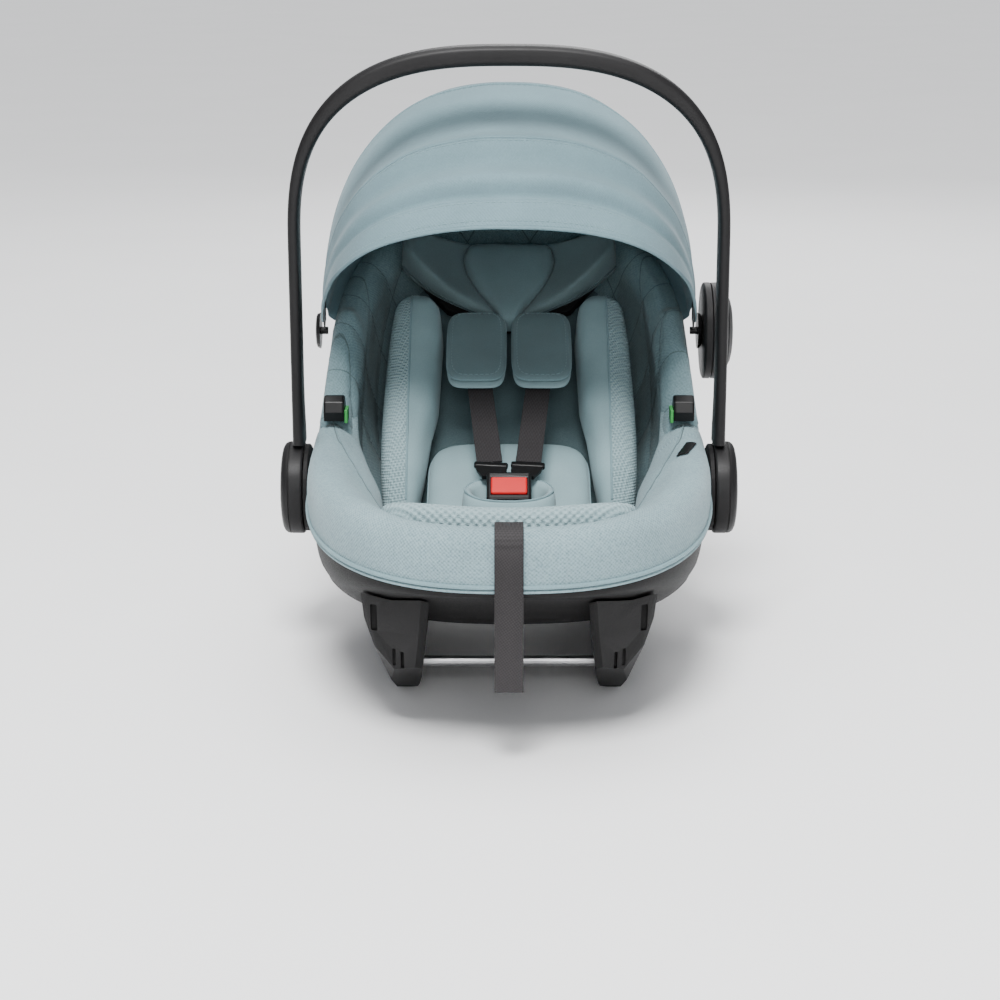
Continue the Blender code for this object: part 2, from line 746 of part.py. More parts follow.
def bolster_form(side):
    """A side bolster, tall and narrow. Its lower end stands wider apart, beside the base pad."""
    rings = []
    rows = (
        # place along the back, distance from the middle, half width, height
        (0.044, 0.108, 0.004, 0.030), (0.052, 0.108, 0.019, 0.044), (0.090, 0.107, 0.0235, 0.060),
        (0.135, 0.106, 0.0240, 0.067), (0.165, 0.100, 0.0285, 0.070), (0.250, 0.0965, 0.030, 0.070),
        (0.290, 0.0965, 0.027, 0.064), (0.306, 0.0965, 0.018, 0.052), (0.311, 0.0965, 0.006, 0.036),
    )
    for along, middle, half, height in rows:
        ring = []
        for k in range(12):
            turn = 2 * pi * k / 12
            x = middle + half * signed_power(cos(turn), 0.7)
            out = 0.001 + height * (0.5 + 0.5 * signed_power(sin(turn), 0.7))
            ring.append((side * x, along, out))
        rings.append(ring)
    return loft(rings)


def add_bolsters(back_frame):
    for name, side in SIDES.items():
        object_from("bolster_" + name, bolster_form(side), "fabric_insert", back_frame)


# Headrest, built in the back frame

def headrest_section(half, along, low, high):
    edge = 0.004
    return [
        (-half, along, low), (half, along, low), (half, along, high - edge),
        (half - edge, along, high), (-half + edge, along, high), (-half, along, high - edge),
    ]


def add_headrest(axis):
    outline = [
        (-0.100, 0.368), (-0.066, 0.322), (-0.014, 0.296), (0.014, 0.296), (0.066, 0.322),
        (0.100, 0.368), (0.096, 0.384), (0.084, 0.394), (-0.084, 0.394), (-0.096, 0.384),
    ]
    object_from("headrest_shell", slab(outline, 0.0200, 0.0300, axis="Z"), "shell_plastic", axis)
    rows = ((0.297, 0.009, 0.0325), (0.322, 0.025, 0.047), (0.360, 0.041, 0.058), (0.390, 0.049, 0.062))
    centre = loft([headrest_section(half, along, 0.0304, high) for along, half, high in rows])
    object_from("headrest_centre_pad", centre, "fabric_insert", axis)
    wing_rows = (
        # distance from the middle, lowest and highest place along the back, how far it stands out
        (0.0520, 0.326, 0.393, 0.054), (0.0720, 0.336, 0.393, 0.056), (0.090, 0.354, 0.388, 0.068),
        (0.099, 0.366, 0.380, 0.070),
    )
    for name, side in SIDES.items():
        rings = []
        for x, low, high, out in wing_rows:
            middle = (low + high) / 2
            rings.append([
                (side * x, low, 0.0304), (side * x, high, 0.0304), (side * x, high, out - 0.010),
                (side * x, mix(high, middle, 0.4), out), (side * x, mix(low, middle, 0.4), out),
                (side * x, low, out - 0.010),
            ])
        object_from("headrest_wing_" + name, loft(rings), "fabric_lining", axis)
        pad = pillow(SHOULDER_PAD, power=4.5, around=24, levels=6)
        pad = object_from("shoulder_pad_" + name, pad, "fabric_insert", axis)
        out = TONGUE_OUT - STRAP_LEAN * (SHOULDER_PAD_ALONG - TONGUE_ALONG) + 0.0090
        pad.location = (side * SHOULDER_PAD_X, SHOULDER_PAD_ALONG, out)
        pad.rotation_euler = (-atan2(STRAP_LEAN, 1.0), 0, 0)


# Harness, built in the back frame

def add_harness(hub, tongues, buckle_button, back_frame, seat_frame):
    for name, side in SIDES.items():
        low = Vector((side * TONGUE_X, TONGUE_ALONG, TONGUE_OUT))
        out = TONGUE_OUT - STRAP_LEAN * (STRAP_TOP_ALONG - TONGUE_ALONG)
        high = Vector((side * STRAP_TOP_X, STRAP_TOP_ALONG, out))
        run = (high - low).normalized()
        path = [low + run * share for share in (0.016, 0.060, 0.110, (high - low).length)]
        path = [point - low for point in path]
        strap = ribbon(path, WEBBING, WEBBING_THICK)
        object_from("harness_strap_" + name, strap, "webbing", tongues[name])
        tongue = block((0.027, 0.020, 0.0045), 0.0012, 1)
        bmesh.ops.translate(tongue, vec=(0, 0.005, 0), verts=tongue.verts)
        made = object_from("tongue_" + name, tongue, "gloss_plastic", tongues[name])
        made.rotation_euler = (atan2(run.z, sqrt(run.x**2 + run.y**2)), 0, -atan2(run.x, run.y))
    body = block((0.043, 0.034, 0.020), 0.003)
    recess = block((0.0352, 0.0202, 0.030), 0.0)
    bmesh.ops.translate(recess, vec=(0, 0.0035 - 0.0045, 0.015 - 0.0010), verts=recess.verts)
    centre = (0, BUCKLE_ALONG, BUCKLE_OUT)
    body = object_from("buckle_body", body, "gloss_plastic", back_frame, centre)
    cut(body, as_cutter(object_from("button_well", recess, None, back_frame, centre)))
    button = block((0.0345, 0.0195, 0.0080), 0.0012, 1)
    place = (0, -0.001, 0.0080)
    bmesh.ops.translate(button, vec=place, verts=button.verts)
    object_from("buckle_button", button, "red_plastic", buckle_button)
    root = Vector((0, BUCKLE_ALONG - 0.0176, BUCKLE_OUT))
    anchor_y, anchor_z = seat_place(0.090, 0.0020)
    lift = back_frame.matrix_local.inverted() @ Vector((0, anchor_y, anchor_z))
    strap = ribbon([root, mix(root, lift, 0.33), mix(root, lift, 0.66), lift], 0.030, WEBBING_THICK)
    object_from("crotch_strap", strap, "webbing", back_frame)
    cup = object_from("crotch_pad", crotch_cup(), "fabric_insert", seat_frame)
    cup.location = (0, -0.096, 0)


def crotch_cup(around=36):
    """A padded cup round the buckle: its rim is high behind the buckle and low in front."""
    rings = []
    for k in range(around):
        turn = 2 * pi * k / around
        outer = Vector((0.042 * signed_power(cos(turn), 0.75), 0.032 * signed_power(sin(turn), 0.75)))
        inner = Vector((0.033 * signed_power(cos(turn), 0.75), 0.0235 * signed_power(sin(turn), 0.75)))
        top = mix(0.044, 0.078, (1 + sin(turn)) / 2)
        section = [(outer, 0.001), (outer, top - 0.004), (mix(outer, inner, 0.5), top)]
        section += [(inner, top - 0.004), (inner, 0.001)]
        rings.append([(point.x, point.y, height) for point, height in section])
    return loft(rings, closed=True)


def add_adjuster(hub, lever_axis):
    housing = block((0.046, 0.026, 0.012), 0.0015, 1)
    object_from("adjuster_housing", housing, "shell_plastic", hub, (0, ADJUSTER_Y, ADJUSTER_Z))
    lever = block((0.030, 0.011, 0.0025), 0.0008, 1)
    bmesh.ops.translate(lever, vec=(0, 0.006, 0), verts=lever.verts)
    object_from("adjuster_lever", lever, "steel", lever_axis)
    strap = ribbon(ADJUSTER_STRAP, WEBBING, WEBBING_THICK)
    object_from("adjuster_strap", strap, "webbing", hub)


def add_belt_guides(hub):
    for name, side in SIDES.items():
        outline = [
            (0.012, 0.0640), (0.040, 0.0655), (0.040, 0.078), (0.033, 0.087), (0.022, 0.089),
            (0.013, 0.084), (0.010, 0.074),
        ]
        guide = slab(outline, side * 0.1645, side * 0.1850)
        object_from("belt_guide_" + name, guide, "gloss_plastic", hub)
        outline = [(0.013, 0.0625), (0.036, 0.0635), (0.036, 0.0755), (0.013, 0.0755)]
        insert = slab(outline, side * 0.1612, side * 0.1641)
        object_from("belt_guide_insert_" + name, insert, "green_plastic", hub)


def add_small_parts(hub, lever_axis):
    label = object_from("label_tag", block((0.014, 0.021, 0.0008), 0.0), "gloss_plastic", hub)
    label.location = (0.1730, -0.014, 0.0595)
    lever = slab([(0.004, -0.002), (0.001, -0.042), (-0.005, -0.042), (-0.002, -0.002)], -0.045, 0.045)
    object_from("base_release_lever", lever, "shell_plastic", lever_axis)


def main():
    clear_scene()
    for name, look in MATERIALS.items():
        make_material(name, *look)
    hub = empty_at("hub_axis", None, (0.0, HUB_Y, HUB_HEIGHT))
    handle = empty_at("handle_axis", hub, (0, 0, 0))
    canopy = {
        name: empty_at(f"canopy_axis_{name}", hub, (0, CANOPY_Y, CANOPY_Z))
        for name in ("rear", "middle", "front", "fixed")
    }
    disc = empty_at("disc_axis", hub, (0, CANOPY_Y, CANOPY_Z))
    add_shell(hub)
    add_covers(hub)
    add_runners(hub)
    add_handle(handle)
    add_release_buttons(handle)
    add_hub_mounts(hub)
    add_canopy(hub, canopy)
    add_disc(disc)
    back_frame = empty_at("back_frame", hub, (0, BIGHT_Y, BIGHT_Z), BACK_LEAN)
    seat_frame = empty_at("seat_frame", hub, (0, BIGHT_Y, BIGHT_Z), -SEAT_RISE)
    headrest = empty_at("headrest_axis", back_frame, (0, 0, 0))
    tongues = {
        name: empty_at("tongue_axis_" + name, back_frame, (side * TONGUE_X, TONGUE_ALONG, TONGUE_OUT))
        for name, side in SIDES.items()
    }
    buckle_button = empty_at("buckle_button_axis", back_frame, (0, BUCKLE_ALONG, BUCKLE_OUT))
    adjuster = empty_at("adjuster_lever_axis", hub, (0, ADJUSTER_Y + 0.0135, ADJUSTER_Z + 0.004))
    release = empty_at("release_lever_axis", hub, (0, 0.3285, 0.160))
    bpy.context.view_layer.update()
    add_cushions(hub, seat_frame)
    add_bolsters(back_frame)
    add_headrest(headrest)
    add_harness(hub, tongues, buckle_button, back_frame, seat_frame)
    add_adjuster(hub, adjuster)
    add_belt_guides(hub)
    add_small_parts(hub, release)


main()
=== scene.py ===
import json
from functools import partial
from math import copysign, cos, exp, pi, radians, sin

import bmesh
import bpy
import numpy as np
from mathutils import Matrix, Vector, noise
from mathutils.bvhtree import BVHTree


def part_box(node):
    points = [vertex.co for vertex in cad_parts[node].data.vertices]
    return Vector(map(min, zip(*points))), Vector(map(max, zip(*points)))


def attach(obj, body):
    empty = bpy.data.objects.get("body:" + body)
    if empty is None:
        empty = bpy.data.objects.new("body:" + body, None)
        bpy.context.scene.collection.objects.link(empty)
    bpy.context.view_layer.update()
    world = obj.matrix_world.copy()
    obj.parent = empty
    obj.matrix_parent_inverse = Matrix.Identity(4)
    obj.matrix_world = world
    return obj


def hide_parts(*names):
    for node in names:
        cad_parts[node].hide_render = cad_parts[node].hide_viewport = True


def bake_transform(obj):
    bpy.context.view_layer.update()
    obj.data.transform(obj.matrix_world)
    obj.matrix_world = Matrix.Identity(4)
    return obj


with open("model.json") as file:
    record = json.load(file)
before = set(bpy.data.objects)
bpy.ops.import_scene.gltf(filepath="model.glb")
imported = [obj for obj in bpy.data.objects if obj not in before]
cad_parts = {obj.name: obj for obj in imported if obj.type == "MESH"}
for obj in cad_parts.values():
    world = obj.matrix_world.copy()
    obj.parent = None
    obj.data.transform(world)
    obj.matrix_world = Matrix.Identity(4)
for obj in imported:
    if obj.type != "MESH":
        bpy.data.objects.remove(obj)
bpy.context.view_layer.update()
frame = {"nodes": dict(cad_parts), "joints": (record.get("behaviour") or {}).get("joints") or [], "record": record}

# Every length is in metres. A place is given from the hub line's middle, unless a comment says otherwise.
JOINTS = {joint["name"]: joint for joint in frame["joints"]}
HUB = Vector(JOINTS["handle_fold"]["pos_m"])
PIVOT = Vector(JOINTS["canopy_fold"]["pos_m"])
SIDES = {"left": -1, "right": 1}
X_AXIS = Vector((1, 0, 0))

# The camera, by the view that it takes of the hub line
CAMERA_DISTANCE = 2.2
CAMERA_ELEVATION = radians(15)
CAMERA_LENS = 79.2
CAMERA_SHIFT = (-0.009, -0.013)

# The lamps as (name, place, size, watts), the broad light from above, and the world. Places are in the frame.
LIGHT_AIM = (0.0, 0.0, 0.25)
AREA_LIGHTS = (
    ("key", (-0.2, -1.6, 3.2), 1.3, 178),
    ("front", (0.1, -2.9, 1.2), 1.4, 32),
    ("rim", (0.4, 2.8, 1.9), 1.8, 30),
)
SKY_STRENGTH = 2.3
SKY_SPREAD = radians(50)
SKY_TILT = radians(-10)
WORLD_COLOUR = (0.93, 0.95, 1.0, 1.0)
WORLD_STRENGTH = 0.38

# The floor's rings as (radius, height)
FLOOR_RINGS = ((0.8, 0.0), (2.0, 0.0), (4.0, 0.0), (8.0, 0.02), (16.0, 0.10))

# The materials by name, as make_looks() makes them
LOOKS = {}

# Materials: the yarns' slant, the sizes of what their noises draw, and how far the blotches change the tone
DIAGONAL = 0.785
BLOTCH_SCALE = 14.0
PATCHINESS = 0.10
FUZZ_SIZE = 0.0011
KNIT_FUZZ_SIZE = 0.0012
GRAIN_SIZE = 0.0013
RIB_PERIOD = 0.0021
YARN_SIZE = 0.0008
BEAD_SIZE = 0.004
STREAKS = (60, 900, 900)

# Thread and webbing. The webbing's section is in shares of its width and thickness.
STITCH_LENGTH = 0.0034
STITCH_GAP = 0.0020
STITCH_RADIUS = 0.00045
WEBBING = 0.025
CROTCH_WEBBING = 0.030
WEBBING_THICKNESS = 0.0017
WEBBING_SECTION = (
    (-0.50, -0.35), (-0.46, -0.62), (-0.40, -0.50), (0.0, -0.44), (0.40, -0.50), (0.46, -0.62),
    (0.50, -0.35), (0.50, 0.35), (0.46, 0.62), (0.40, 0.50), (0.0, 0.44), (-0.40, 0.50),
    (-0.46, 0.62), (-0.50, 0.35),
)
ADJUSTER_STRAP = (
    (0, -0.2600, 0.0122), (0, -0.2660, 0.0215), (0, -0.2760, 0.0335), (0, -0.2900, 0.0440),
    (0, -0.3050, 0.0498), (0, -0.3190, 0.0512), (0, -0.3310, 0.0470), (0, -0.3370, 0.0370),
    (0, -0.3385, 0.0200), (0, -0.3385, -0.0200), (0, -0.3382, -0.0600), (0, -0.3378, -0.0930),
)

# The shell's rim and bowl. Heights and widths are given as (y, value).
HALF_WIDTH = 0.196
HALF_LENGTH = 0.3325
RIM_CENTRE_Y = -0.0025
RIM_POWER = 2.5
HEAD_POWER = 3.2
HEAD_TAPER = 0.030
TAPER_Y = 0.130
BOWL_POWER = 2.6
BAND = 0.062
INSET_LIFT = 0.6
RIM_STEPS = 2880
RIM_HEIGHTS = (
    (-0.335, 0.048), (-0.100, 0.053), (0.040, 0.062), (0.092, 0.102),
    (0.150, 0.146), (0.240, 0.190), (0.330, 0.230),
)
KEEL_HEIGHTS = (
    (-0.335, -0.016), (-0.290, -0.044), (-0.200, -0.090), (-0.060, -0.122),
    (0.060, -0.126), (0.160, -0.098), (0.250, -0.030), (0.330, 0.070),
)
SHELL_OUTSIDE = 0.0062
SHELL_INSIDE = 0.0100
SHELL_GROOVES = ((0.20, 0.0016, 0.022), (0.52, 0.0014, 0.026))

# The cover's roll: its widths, the fixed part of its section, and the step down behind the armrests
ROLL_WIDTHS = (
    (-0.335, 0.060), (-0.200, 0.066), (-0.100, 0.070), (0.000, 0.054),
    (0.050, 0.042), (0.130, 0.032), (0.330, 0.032),
)
ROLL_OUTSIDE = (
    (0.0012, -0.0500), (0.0002, -0.0440), (-0.0004, -0.0340), (0.0004, -0.0200),
    (0.0036, -0.0085), (0.0095, -0.0015), (0.0175, 0.0008),
)
ROLL_AROUND = 36
ROLL_END = 0.024
REAR_STEP = 0.0060
COVER_PIPINGS = (
    ("cover_piping_outer", 0.0, -0.0475, 0.0021, "piping"),
    ("cover_piping_lower", 0.0006, -0.0517, 0.0015, "fabric_melange"),
)

# The quilted lining
LINING_INSET = 0.0345
LINING_GIRTH = 1.82
QUILT_SIZE = LINING_GIRTH / 22
QUILT_SLANT = 0.8
QUILT_PUFF = 0.0048

# The seat's back and bottom, by the crease between them
BACK_LEAN = radians(39)
SEAT_RISE = radians(28.5)
BIGHT = Vector((0, -0.044, -0.080))

# The canopy. Its bows, seams and folds lie at angles about its pivot, in degrees.
CANOPY_POWER = 2.4
CANOPY_HALF_WIDTH = 0.1915
CANOPY_RADIUS = 0.2540
CANOPY_EDGE = 33.0
CANOPY_BOWS = {"front": 34.2, "middle": 56, "rear": 84}
CANOPY_END = 149
CANOPY_RIDGES = ((45.2, 0.0046, 1.9), (56.0, 0.0052, 2.6), (84.0, 0.0022, 4.0))
CANOPY_SAGS = ((41.7, 0.0076, 1.6), (50.6, 0.0050, 2.6), (67.0, 0.0064, 7.0), (118.0, 0.0030, 14.0))
BOW_HALF_WIDTH = 0.0028
CANOPY_SPANS = (
    (
        "canopy_front_span", CANOPY_EDGE, CANOPY_BOWS["middle"], 34, ("canopy_front", "canopy_middle"),
        ("canopy_panel_front",), ["canopy_hoop_front", "canopy_hoop_middle"],
    ),
    (
        "canopy_middle_span", CANOPY_BOWS["middle"], CANOPY_BOWS["rear"], 30,
        ("canopy_middle", "canopy_rear"), ("canopy_panel_middle",),
        ["canopy_hoop_middle", "canopy_hoop_rear"],
    ),
    (
        "canopy_rear_span", CANOPY_BOWS["rear"], CANOPY_END, 44, ("canopy_rear", "carrier"),
        ("canopy_panel_rear", "canopy_panel_fixed"), ["canopy_hoop_rear", "cover_roll"],
    ),
)
CANOPY_SEAMS = (
    ("canopy_edge_binding", CANOPY_EDGE, 0.0, 0.0018, "canopy_front"),
    ("canopy_visor_seam", 40.0, 0.0002, 0.0008, "canopy_front"),
    ("canopy_middle_seam", 56.0, 0.0004, 0.0011, "canopy_middle"),
    ("canopy_rear_seam", 84.0, 0.0004, 0.0011, "canopy_rear"),
)
CANOPY_STITCHES = (
    ("canopy_visor_stitches", 39.2, "canopy_front"), ("canopy_edge_stitches", 34.6, "canopy_front"),
    ("canopy_middle_stitches", 55.2, "canopy_middle"), ("canopy_rear_stitches", 83.2, "canopy_rear"),
)

# Cushions: the cloth simulation, which starts from a slightly shrunken skin
CLOTH_STEPS = 20
CLOTH_PRESSURE = 4.0
CLOTH_QUALITY = 4
CLOTH_CAP = 0.006
SKIN_SHRINK = 0.0020
BOLSTER_SEAM = 0.1020
BOLSTER_FOOT = 0.062
BOLSTER_STRETCH = 0.085

# The headrest: the centre pad's half width as (place up the back, value), and where the panels start
SHIELD = (
    (0.290, 0.0060), (0.302, 0.0105), (0.318, 0.0190), (0.339, 0.0330),
    (0.361, 0.0440), (0.381, 0.0490), (0.398, 0.0465), (0.406, 0.0385),
)
HEADREST_FRONT = 0.0312

# How far the harness straps lean in from the back, as they run up it
STRAP_LEAN = 0.296

# The handle and its hubs
HANDLE_POWER = 2.7
HANDLE_SHOULDER = 0.245
HANDLE_FOOT = 0.0468
HANDLE_DEPTH = 0.038
HANDLE_AROUND = 28
BUTTON_ROOM = 0.0045
HUB_BORE = 0.0066

# Turned profiles. The back's rows count from the inner end, and the others' from the outer end. A rim's rows
# are (distance from that end, distance in from the full radius), and a face's are (distance, radius).
HUB_BACK = ((0.0, 0.0012), (0.0010, 0.0003), (0.0022, 0.0))
HUB_RIM = (
    (0.0090, 0.0), (0.0086, 0.0008), (0.0080, 0.0008), (0.0076, 0.0), (0.0048, 0.0006), (0.0024, 0.0024),
    (0.0008, 0.0056), (0.0, 0.0095), (0.0, 0.0140), (0.0010, 0.0150),
)
HUB_FACE = ((0.0014, 0.0215), (0.0006, 0.0200), (0.0004, 0.0186))
BUTTON_RIM = ((0.0030, 0.0), (0.0012, 0.0008), (0.0002, 0.0026), (0.0006, 0.0050))
BUTTON_FACE = ((0.0020, 0.0070), (0.0022, 0.0005))

# The disc's dome in the same way, with its rim and its step counted from the inner end
DOME_RIM = (
    (0.0, 0.0014), (0.0006, 0.0003), (0.0050, 0.0), (0.0110, 0.0002), (0.0136, 0.0014), (0.0150, 0.0042),
)
DOME_STEP = ((0.0156, 0.0410), (0.0158, 0.0392), (0.0172, 0.0382))
DOME_FACE = ((0.0052, 0.0364), (0.0030, 0.0325), (0.0014, 0.0260), (0.0004, 0.0170), (0.0, 0.0060))

# The crotch cup's section as (share of its outline, share of its height)
CUP_SECTION = (
    (1.0, 0.001), (1.04, 0.30), (1.0, 0.72), (0.97, 0.93), (0.90, 1.0),
    (0.82, 0.955), (0.79, 0.80), (0.79, 0.30), (0.79, 0.001),
)

# The right tongue's plate: its outline as (across, along), and its layers as (height, share of the outline)
TONGUE_OUTLINE = (
    (-0.0160, 0.0060), (0.0160, 0.0060), (0.0128, -0.0050),
    (0.0070, -0.0140), (-0.0120, -0.0140), (-0.0158, -0.0050),
)
TONGUE_LAYERS = ((-0.0019, 0.95), (-0.0012, 1.0), (0.0012, 1.0), (0.0019, 0.95))

# The runners' toes, for the right one: the planes that cut them by three points, then (x, z, width, height)
# of the pocket and the two slots. The underside's plane is given by a point and its normal.
TOE_CUTS = (
    ((0.089, -0.262, -0.116), (0.124, -0.274, -0.062), (0.117, -0.175, -0.136)),
    ((0.124, -0.276, -0.064), (0.1345, -0.286, -0.028), (0.1260, -0.200, -0.080)),
)
TOE_UNDERSIDE = (Vector((0, -0.150, -0.1565)), Vector((0, -0.0585, -0.112)))
TOE_SLOTS = (
    (0.1205, -0.050, 0.0060, 0.026), (0.1030, -0.088, 0.0030, 0.018), (0.0955, -0.090, 0.0030, 0.018),
)
WELD_DISTANCE = 0.00001

# Edge bevels of the CAD nodes that stay. A name without its side stands for both sides.
BEVELS = {
    "hub_housing": 0.0006, "belt_guide": 0.0020, "belt_guide_insert": 0.0005, "canopy_clip": 0.0006,
    "buckle_body": 0.0016, "buckle_button": 0.0020, "adjuster_housing": 0.0008, "adjuster_lever": 0.0003,
    "base_release_lever": 0.0012, "headrest_shell": 0.0015,
}


# Node trees

def node(tree, kind, inputs=None, **settings):
    """A shader node. An input is a number, a colour or another node's output."""
    made = tree.nodes.new("ShaderNode" + kind)
    for key, value in settings.items():
        setattr(made, key, value)
    for key, value in (inputs or {}).items():
        if isinstance(value, bpy.types.NodeSocket):
            tree.links.new(value, made.inputs[key])
        else:
            made.inputs[key].default_value = value
    return made


def math_node(tree, operation, first, second=0.0):
    return node(tree, "Math", {0: first, 1: second}, operation=operation).outputs[0]


def noise_node(tree, place, scale, detail=2.0, roughness=0.5):
    inputs = {"Vector": place, "Scale": scale, "Detail": detail, "Roughness": roughness}
    return node(tree, "TexNoise", inputs).outputs["Fac"]


def ranged(tree, value, low, high, to_low=0.0, to_high=1.0):
    inputs = {"Value": value, 1: low, 2: high, 3: to_low, 4: to_high}
    return node(tree, "MapRange", inputs, clamp=True).outputs[0]


def mixed(tree, share, first, second):
    made = node(tree, "Mix", {"Factor": share}, data_type="RGBA")
    for socket, value in ((made.inputs[6], first), (made.inputs[7], second)):
        if isinstance(value, bpy.types.NodeSocket):
            tree.links.new(value, socket)
        else:
            socket.default_value = (*value, 1.0)
    return made.outputs[2]


def lattice(tree, place, period, turn):
    """Rows of bumps in every plane, as crossing threads make. It runs from -1 to 1."""
    inputs = {"Vector": place, "Rotation": turn}
    turned = node(tree, "VectorRotate", inputs, rotation_type="EULER_XYZ").outputs[0]
    inputs = {0: turned, "Scale": 2 * pi / period}
    scaled = node(tree, "VectorMath", inputs, operation="SCALE").outputs[0]
    waves = node(tree, "VectorMath", {0: scaled}, operation="SINE").outputs[0]
    third = (1 / 3, 1 / 3, 1 / 3)
    return node(tree, "VectorMath", {0: waves, 1: third}, operation="DOT_PRODUCT").outputs["Value"]


def material_base(name, roughness, **values):
    """Starts a material, and keeps it in LOOKS by its name."""
    made = bpy.data.materials.new(name)
    LOOKS[name] = made
    made.use_nodes = True
    tree = made.node_tree
    shader = tree.nodes["Principled BSDF"]
    shader.inputs["Roughness"].default_value = roughness
    for key, value in values.items():
        shader.inputs[key.replace("_", " ")].default_value = value
    return tree, shader, node(tree, "TexCoord").outputs["Object"]


def set_bump(tree, shader, height, strength, distance):
    inputs = {"Height": height, "Strength": strength, "Distance": distance}
    bump = node(tree, "Bump", inputs)
    tree.links.new(bump.outputs[0], shader.inputs["Normal"])


def set_shade(tree, shader, colour, value):
    """The base colour, with its brightness multiplied by value."""
    shade = node(tree, "HueSaturation", {"Color": colour, "Value": value}).outputs[0]
    tree.links.new(shade, shader.inputs["Base Color"])


def weave_height(tree, place, period):
    """Diagonal yarns crossing, on cloth whose UV map is in metres. It runs from -1 to 1."""
    flat_place = node(tree, "UVMap", uv_map="cloth").outputs[0]
    wobble = noise_node(tree, place, 1 / (period * 5), 2.0)
    nudge = math_node(tree, "MULTIPLY", wobble, period * 0.5)
    moved = node(tree, "VectorMath", {0: flat_place, 1: nudge}, operation="ADD").outputs[0]
    return lattice(tree, moved, period, (0.0, 0.0, DIAGONAL))


def sewn_lines(tree, place):
    """0 on the quilting's sewn lines and 1 away from them; fabric() uses it to paint shade along the lines."""
    along = node(tree, "SeparateXYZ", {0: node(tree, "UVMap", uv_map="cloth").outputs[0]}).outputs[0]
    height = node(tree, "SeparateXYZ", {0: place}).outputs[2]
    drop = math_node(tree, "MULTIPLY", height, QUILT_SLANT)
    nearest = None
    for operation in ("ADD", "SUBTRACT"):
        slant = math_node(tree, operation, along, drop)
        wave = math_node(tree, "SINE", math_node(tree, "MULTIPLY", slant, pi / QUILT_SIZE))
        from_line = math_node(tree, "ABSOLUTE", wave)
        nearest = math_node(tree, "MINIMUM", nearest, from_line) if nearest else from_line
    return ranged(tree, nearest, 0.010, 0.060)


def fabric(name, light, dark, period, bump=0.5, depth=0.0004, woven=0.0, quilted=False):
    """Cloth of two-tone yarn, with slow changes of tone and a soft sheen. woven over 0 shows its weave. quilted
    darkens the quilting's sewn lines with painted shade.
    """
    tree, shader, place = material_base(
        name, 0.92, Sheen_Weight=0.12, Sheen_Roughness=0.5, Specular_IOR_Level=0.2
    )
    flecks = noise_node(tree, place, 1.1 / period, 3.0, 0.65)
    blotches = noise_node(tree, place, BLOTCH_SCALE)
    fuzz = noise_node(tree, place, 1 / FUZZ_SIZE)
    tone, height = flecks, math_node(tree, "ADD", flecks, math_node(tree, "MULTIPLY", fuzz, 0.6))
    if woven:
        yarns = weave_height(tree, place, period)
        tone = math_node(tree, "ADD", flecks, math_node(tree, "MULTIPLY", yarns, woven))
        height = math_node(tree, "ADD", flecks, yarns)
    colour = mixed(tree, ranged(tree, tone, 0.30, 0.70), dark, light)
    value = ranged(tree, blotches, 0.3, 0.7, 1 - PATCHINESS, 1 + PATCHINESS / 2)
    if quilted:
        # The sewn lines are darkened: painted shade in the quilting's creases.
        painted_crease_shade = ranged(tree, sewn_lines(tree, place), 0.0, 1.0, 0.55, 1.0)
        value = math_node(tree, "MULTIPLY", value, painted_crease_shade)
    set_shade(tree, shader, colour, value)
    set_bump(tree, shader, height, bump, depth)


def knit(name, light, dark, period, depth, mapped=False):
    """An open knit: raised loops in rows, with darker holes between them. mapped lays it by the UV map."""
    tree, shader, place = material_base(
        name, 0.95, Sheen_Weight=0.10, Sheen_Roughness=0.6, Specular_IOR_Level=0.15
    )
    fuzz = noise_node(tree, place, 1 / KNIT_FUZZ_SIZE)
    if mapped:
        loops = weave_height(tree, place, period)
    else:
        loops = lattice(tree, place, period, (0.2, 0.15, DIAGONAL))
    colour = mixed(tree, ranged(tree, loops, -0.45, 0.35), dark, light)
    value = ranged(tree, fuzz, 0.2, 0.8, 0.86, 1.10)
    set_shade(tree, shader, colour, value)
    set_bump(tree, shader, math_node(tree, "ADD", loops, fuzz), 0.9, depth)


def moulded(name, colour, roughness, grain=0.00025, bump=0.25, coat=0.0, wear=0.2):
    """Moulded plastic: a fine spark-eroded grain, and edges rubbed a little lighter."""
    tree, shader, place = material_base(
        name, roughness, Specular_IOR_Level=0.20, Coat_Weight=coat, Coat_Roughness=0.25
    )
    speckle = noise_node(tree, place, 1 / GRAIN_SIZE, 3.0, 0.6)
    blotches = noise_node(tree, place, 22.0, 3.0)
    edges = node(tree, "NewGeometry").outputs["Pointiness"]
    rubbed = ranged(tree, edges, 0.53, 0.62, 0.0, wear)
    lighter = tuple(min(1.0, channel * 1.8 + 0.004) for channel in colour)
    base = mixed(tree, ranged(tree, blotches, 0.3, 0.7, 0.0, 0.22), colour, lighter)
    base = mixed(tree, rubbed, base, lighter)
    tree.links.new(base, shader.inputs["Base Color"])
    rough = ranged(tree, speckle, 0.25, 0.75, roughness - 0.06, roughness + 0.08)
    tree.links.new(rough, shader.inputs["Roughness"])
    set_bump(tree, shader, speckle, bump, grain)


def woven_strap(name, light, dark):
    """Webbing: fine ribs of twisted yarn on a slant, with a slight silky shine."""
    tree, shader, place = material_base(
        name, 0.66, Sheen_Weight=0.06, Sheen_Roughness=0.4, Specular_IOR_Level=0.25
    )
    ribs = lattice(tree, place, RIB_PERIOD, (0.0, 0.6, 0.0))
    yarn = noise_node(tree, place, 1 / YARN_SIZE, 3.0, 0.6)
    tone = math_node(tree, "ADD", math_node(tree, "MULTIPLY", ribs, 0.5), yarn)
    colour = mixed(tree, ranged(tree, tone, 0.2, 0.8), dark, light)
    tree.links.new(colour, shader.inputs["Base Color"])
    set_bump(tree, shader, tone, 0.6, 0.0004)


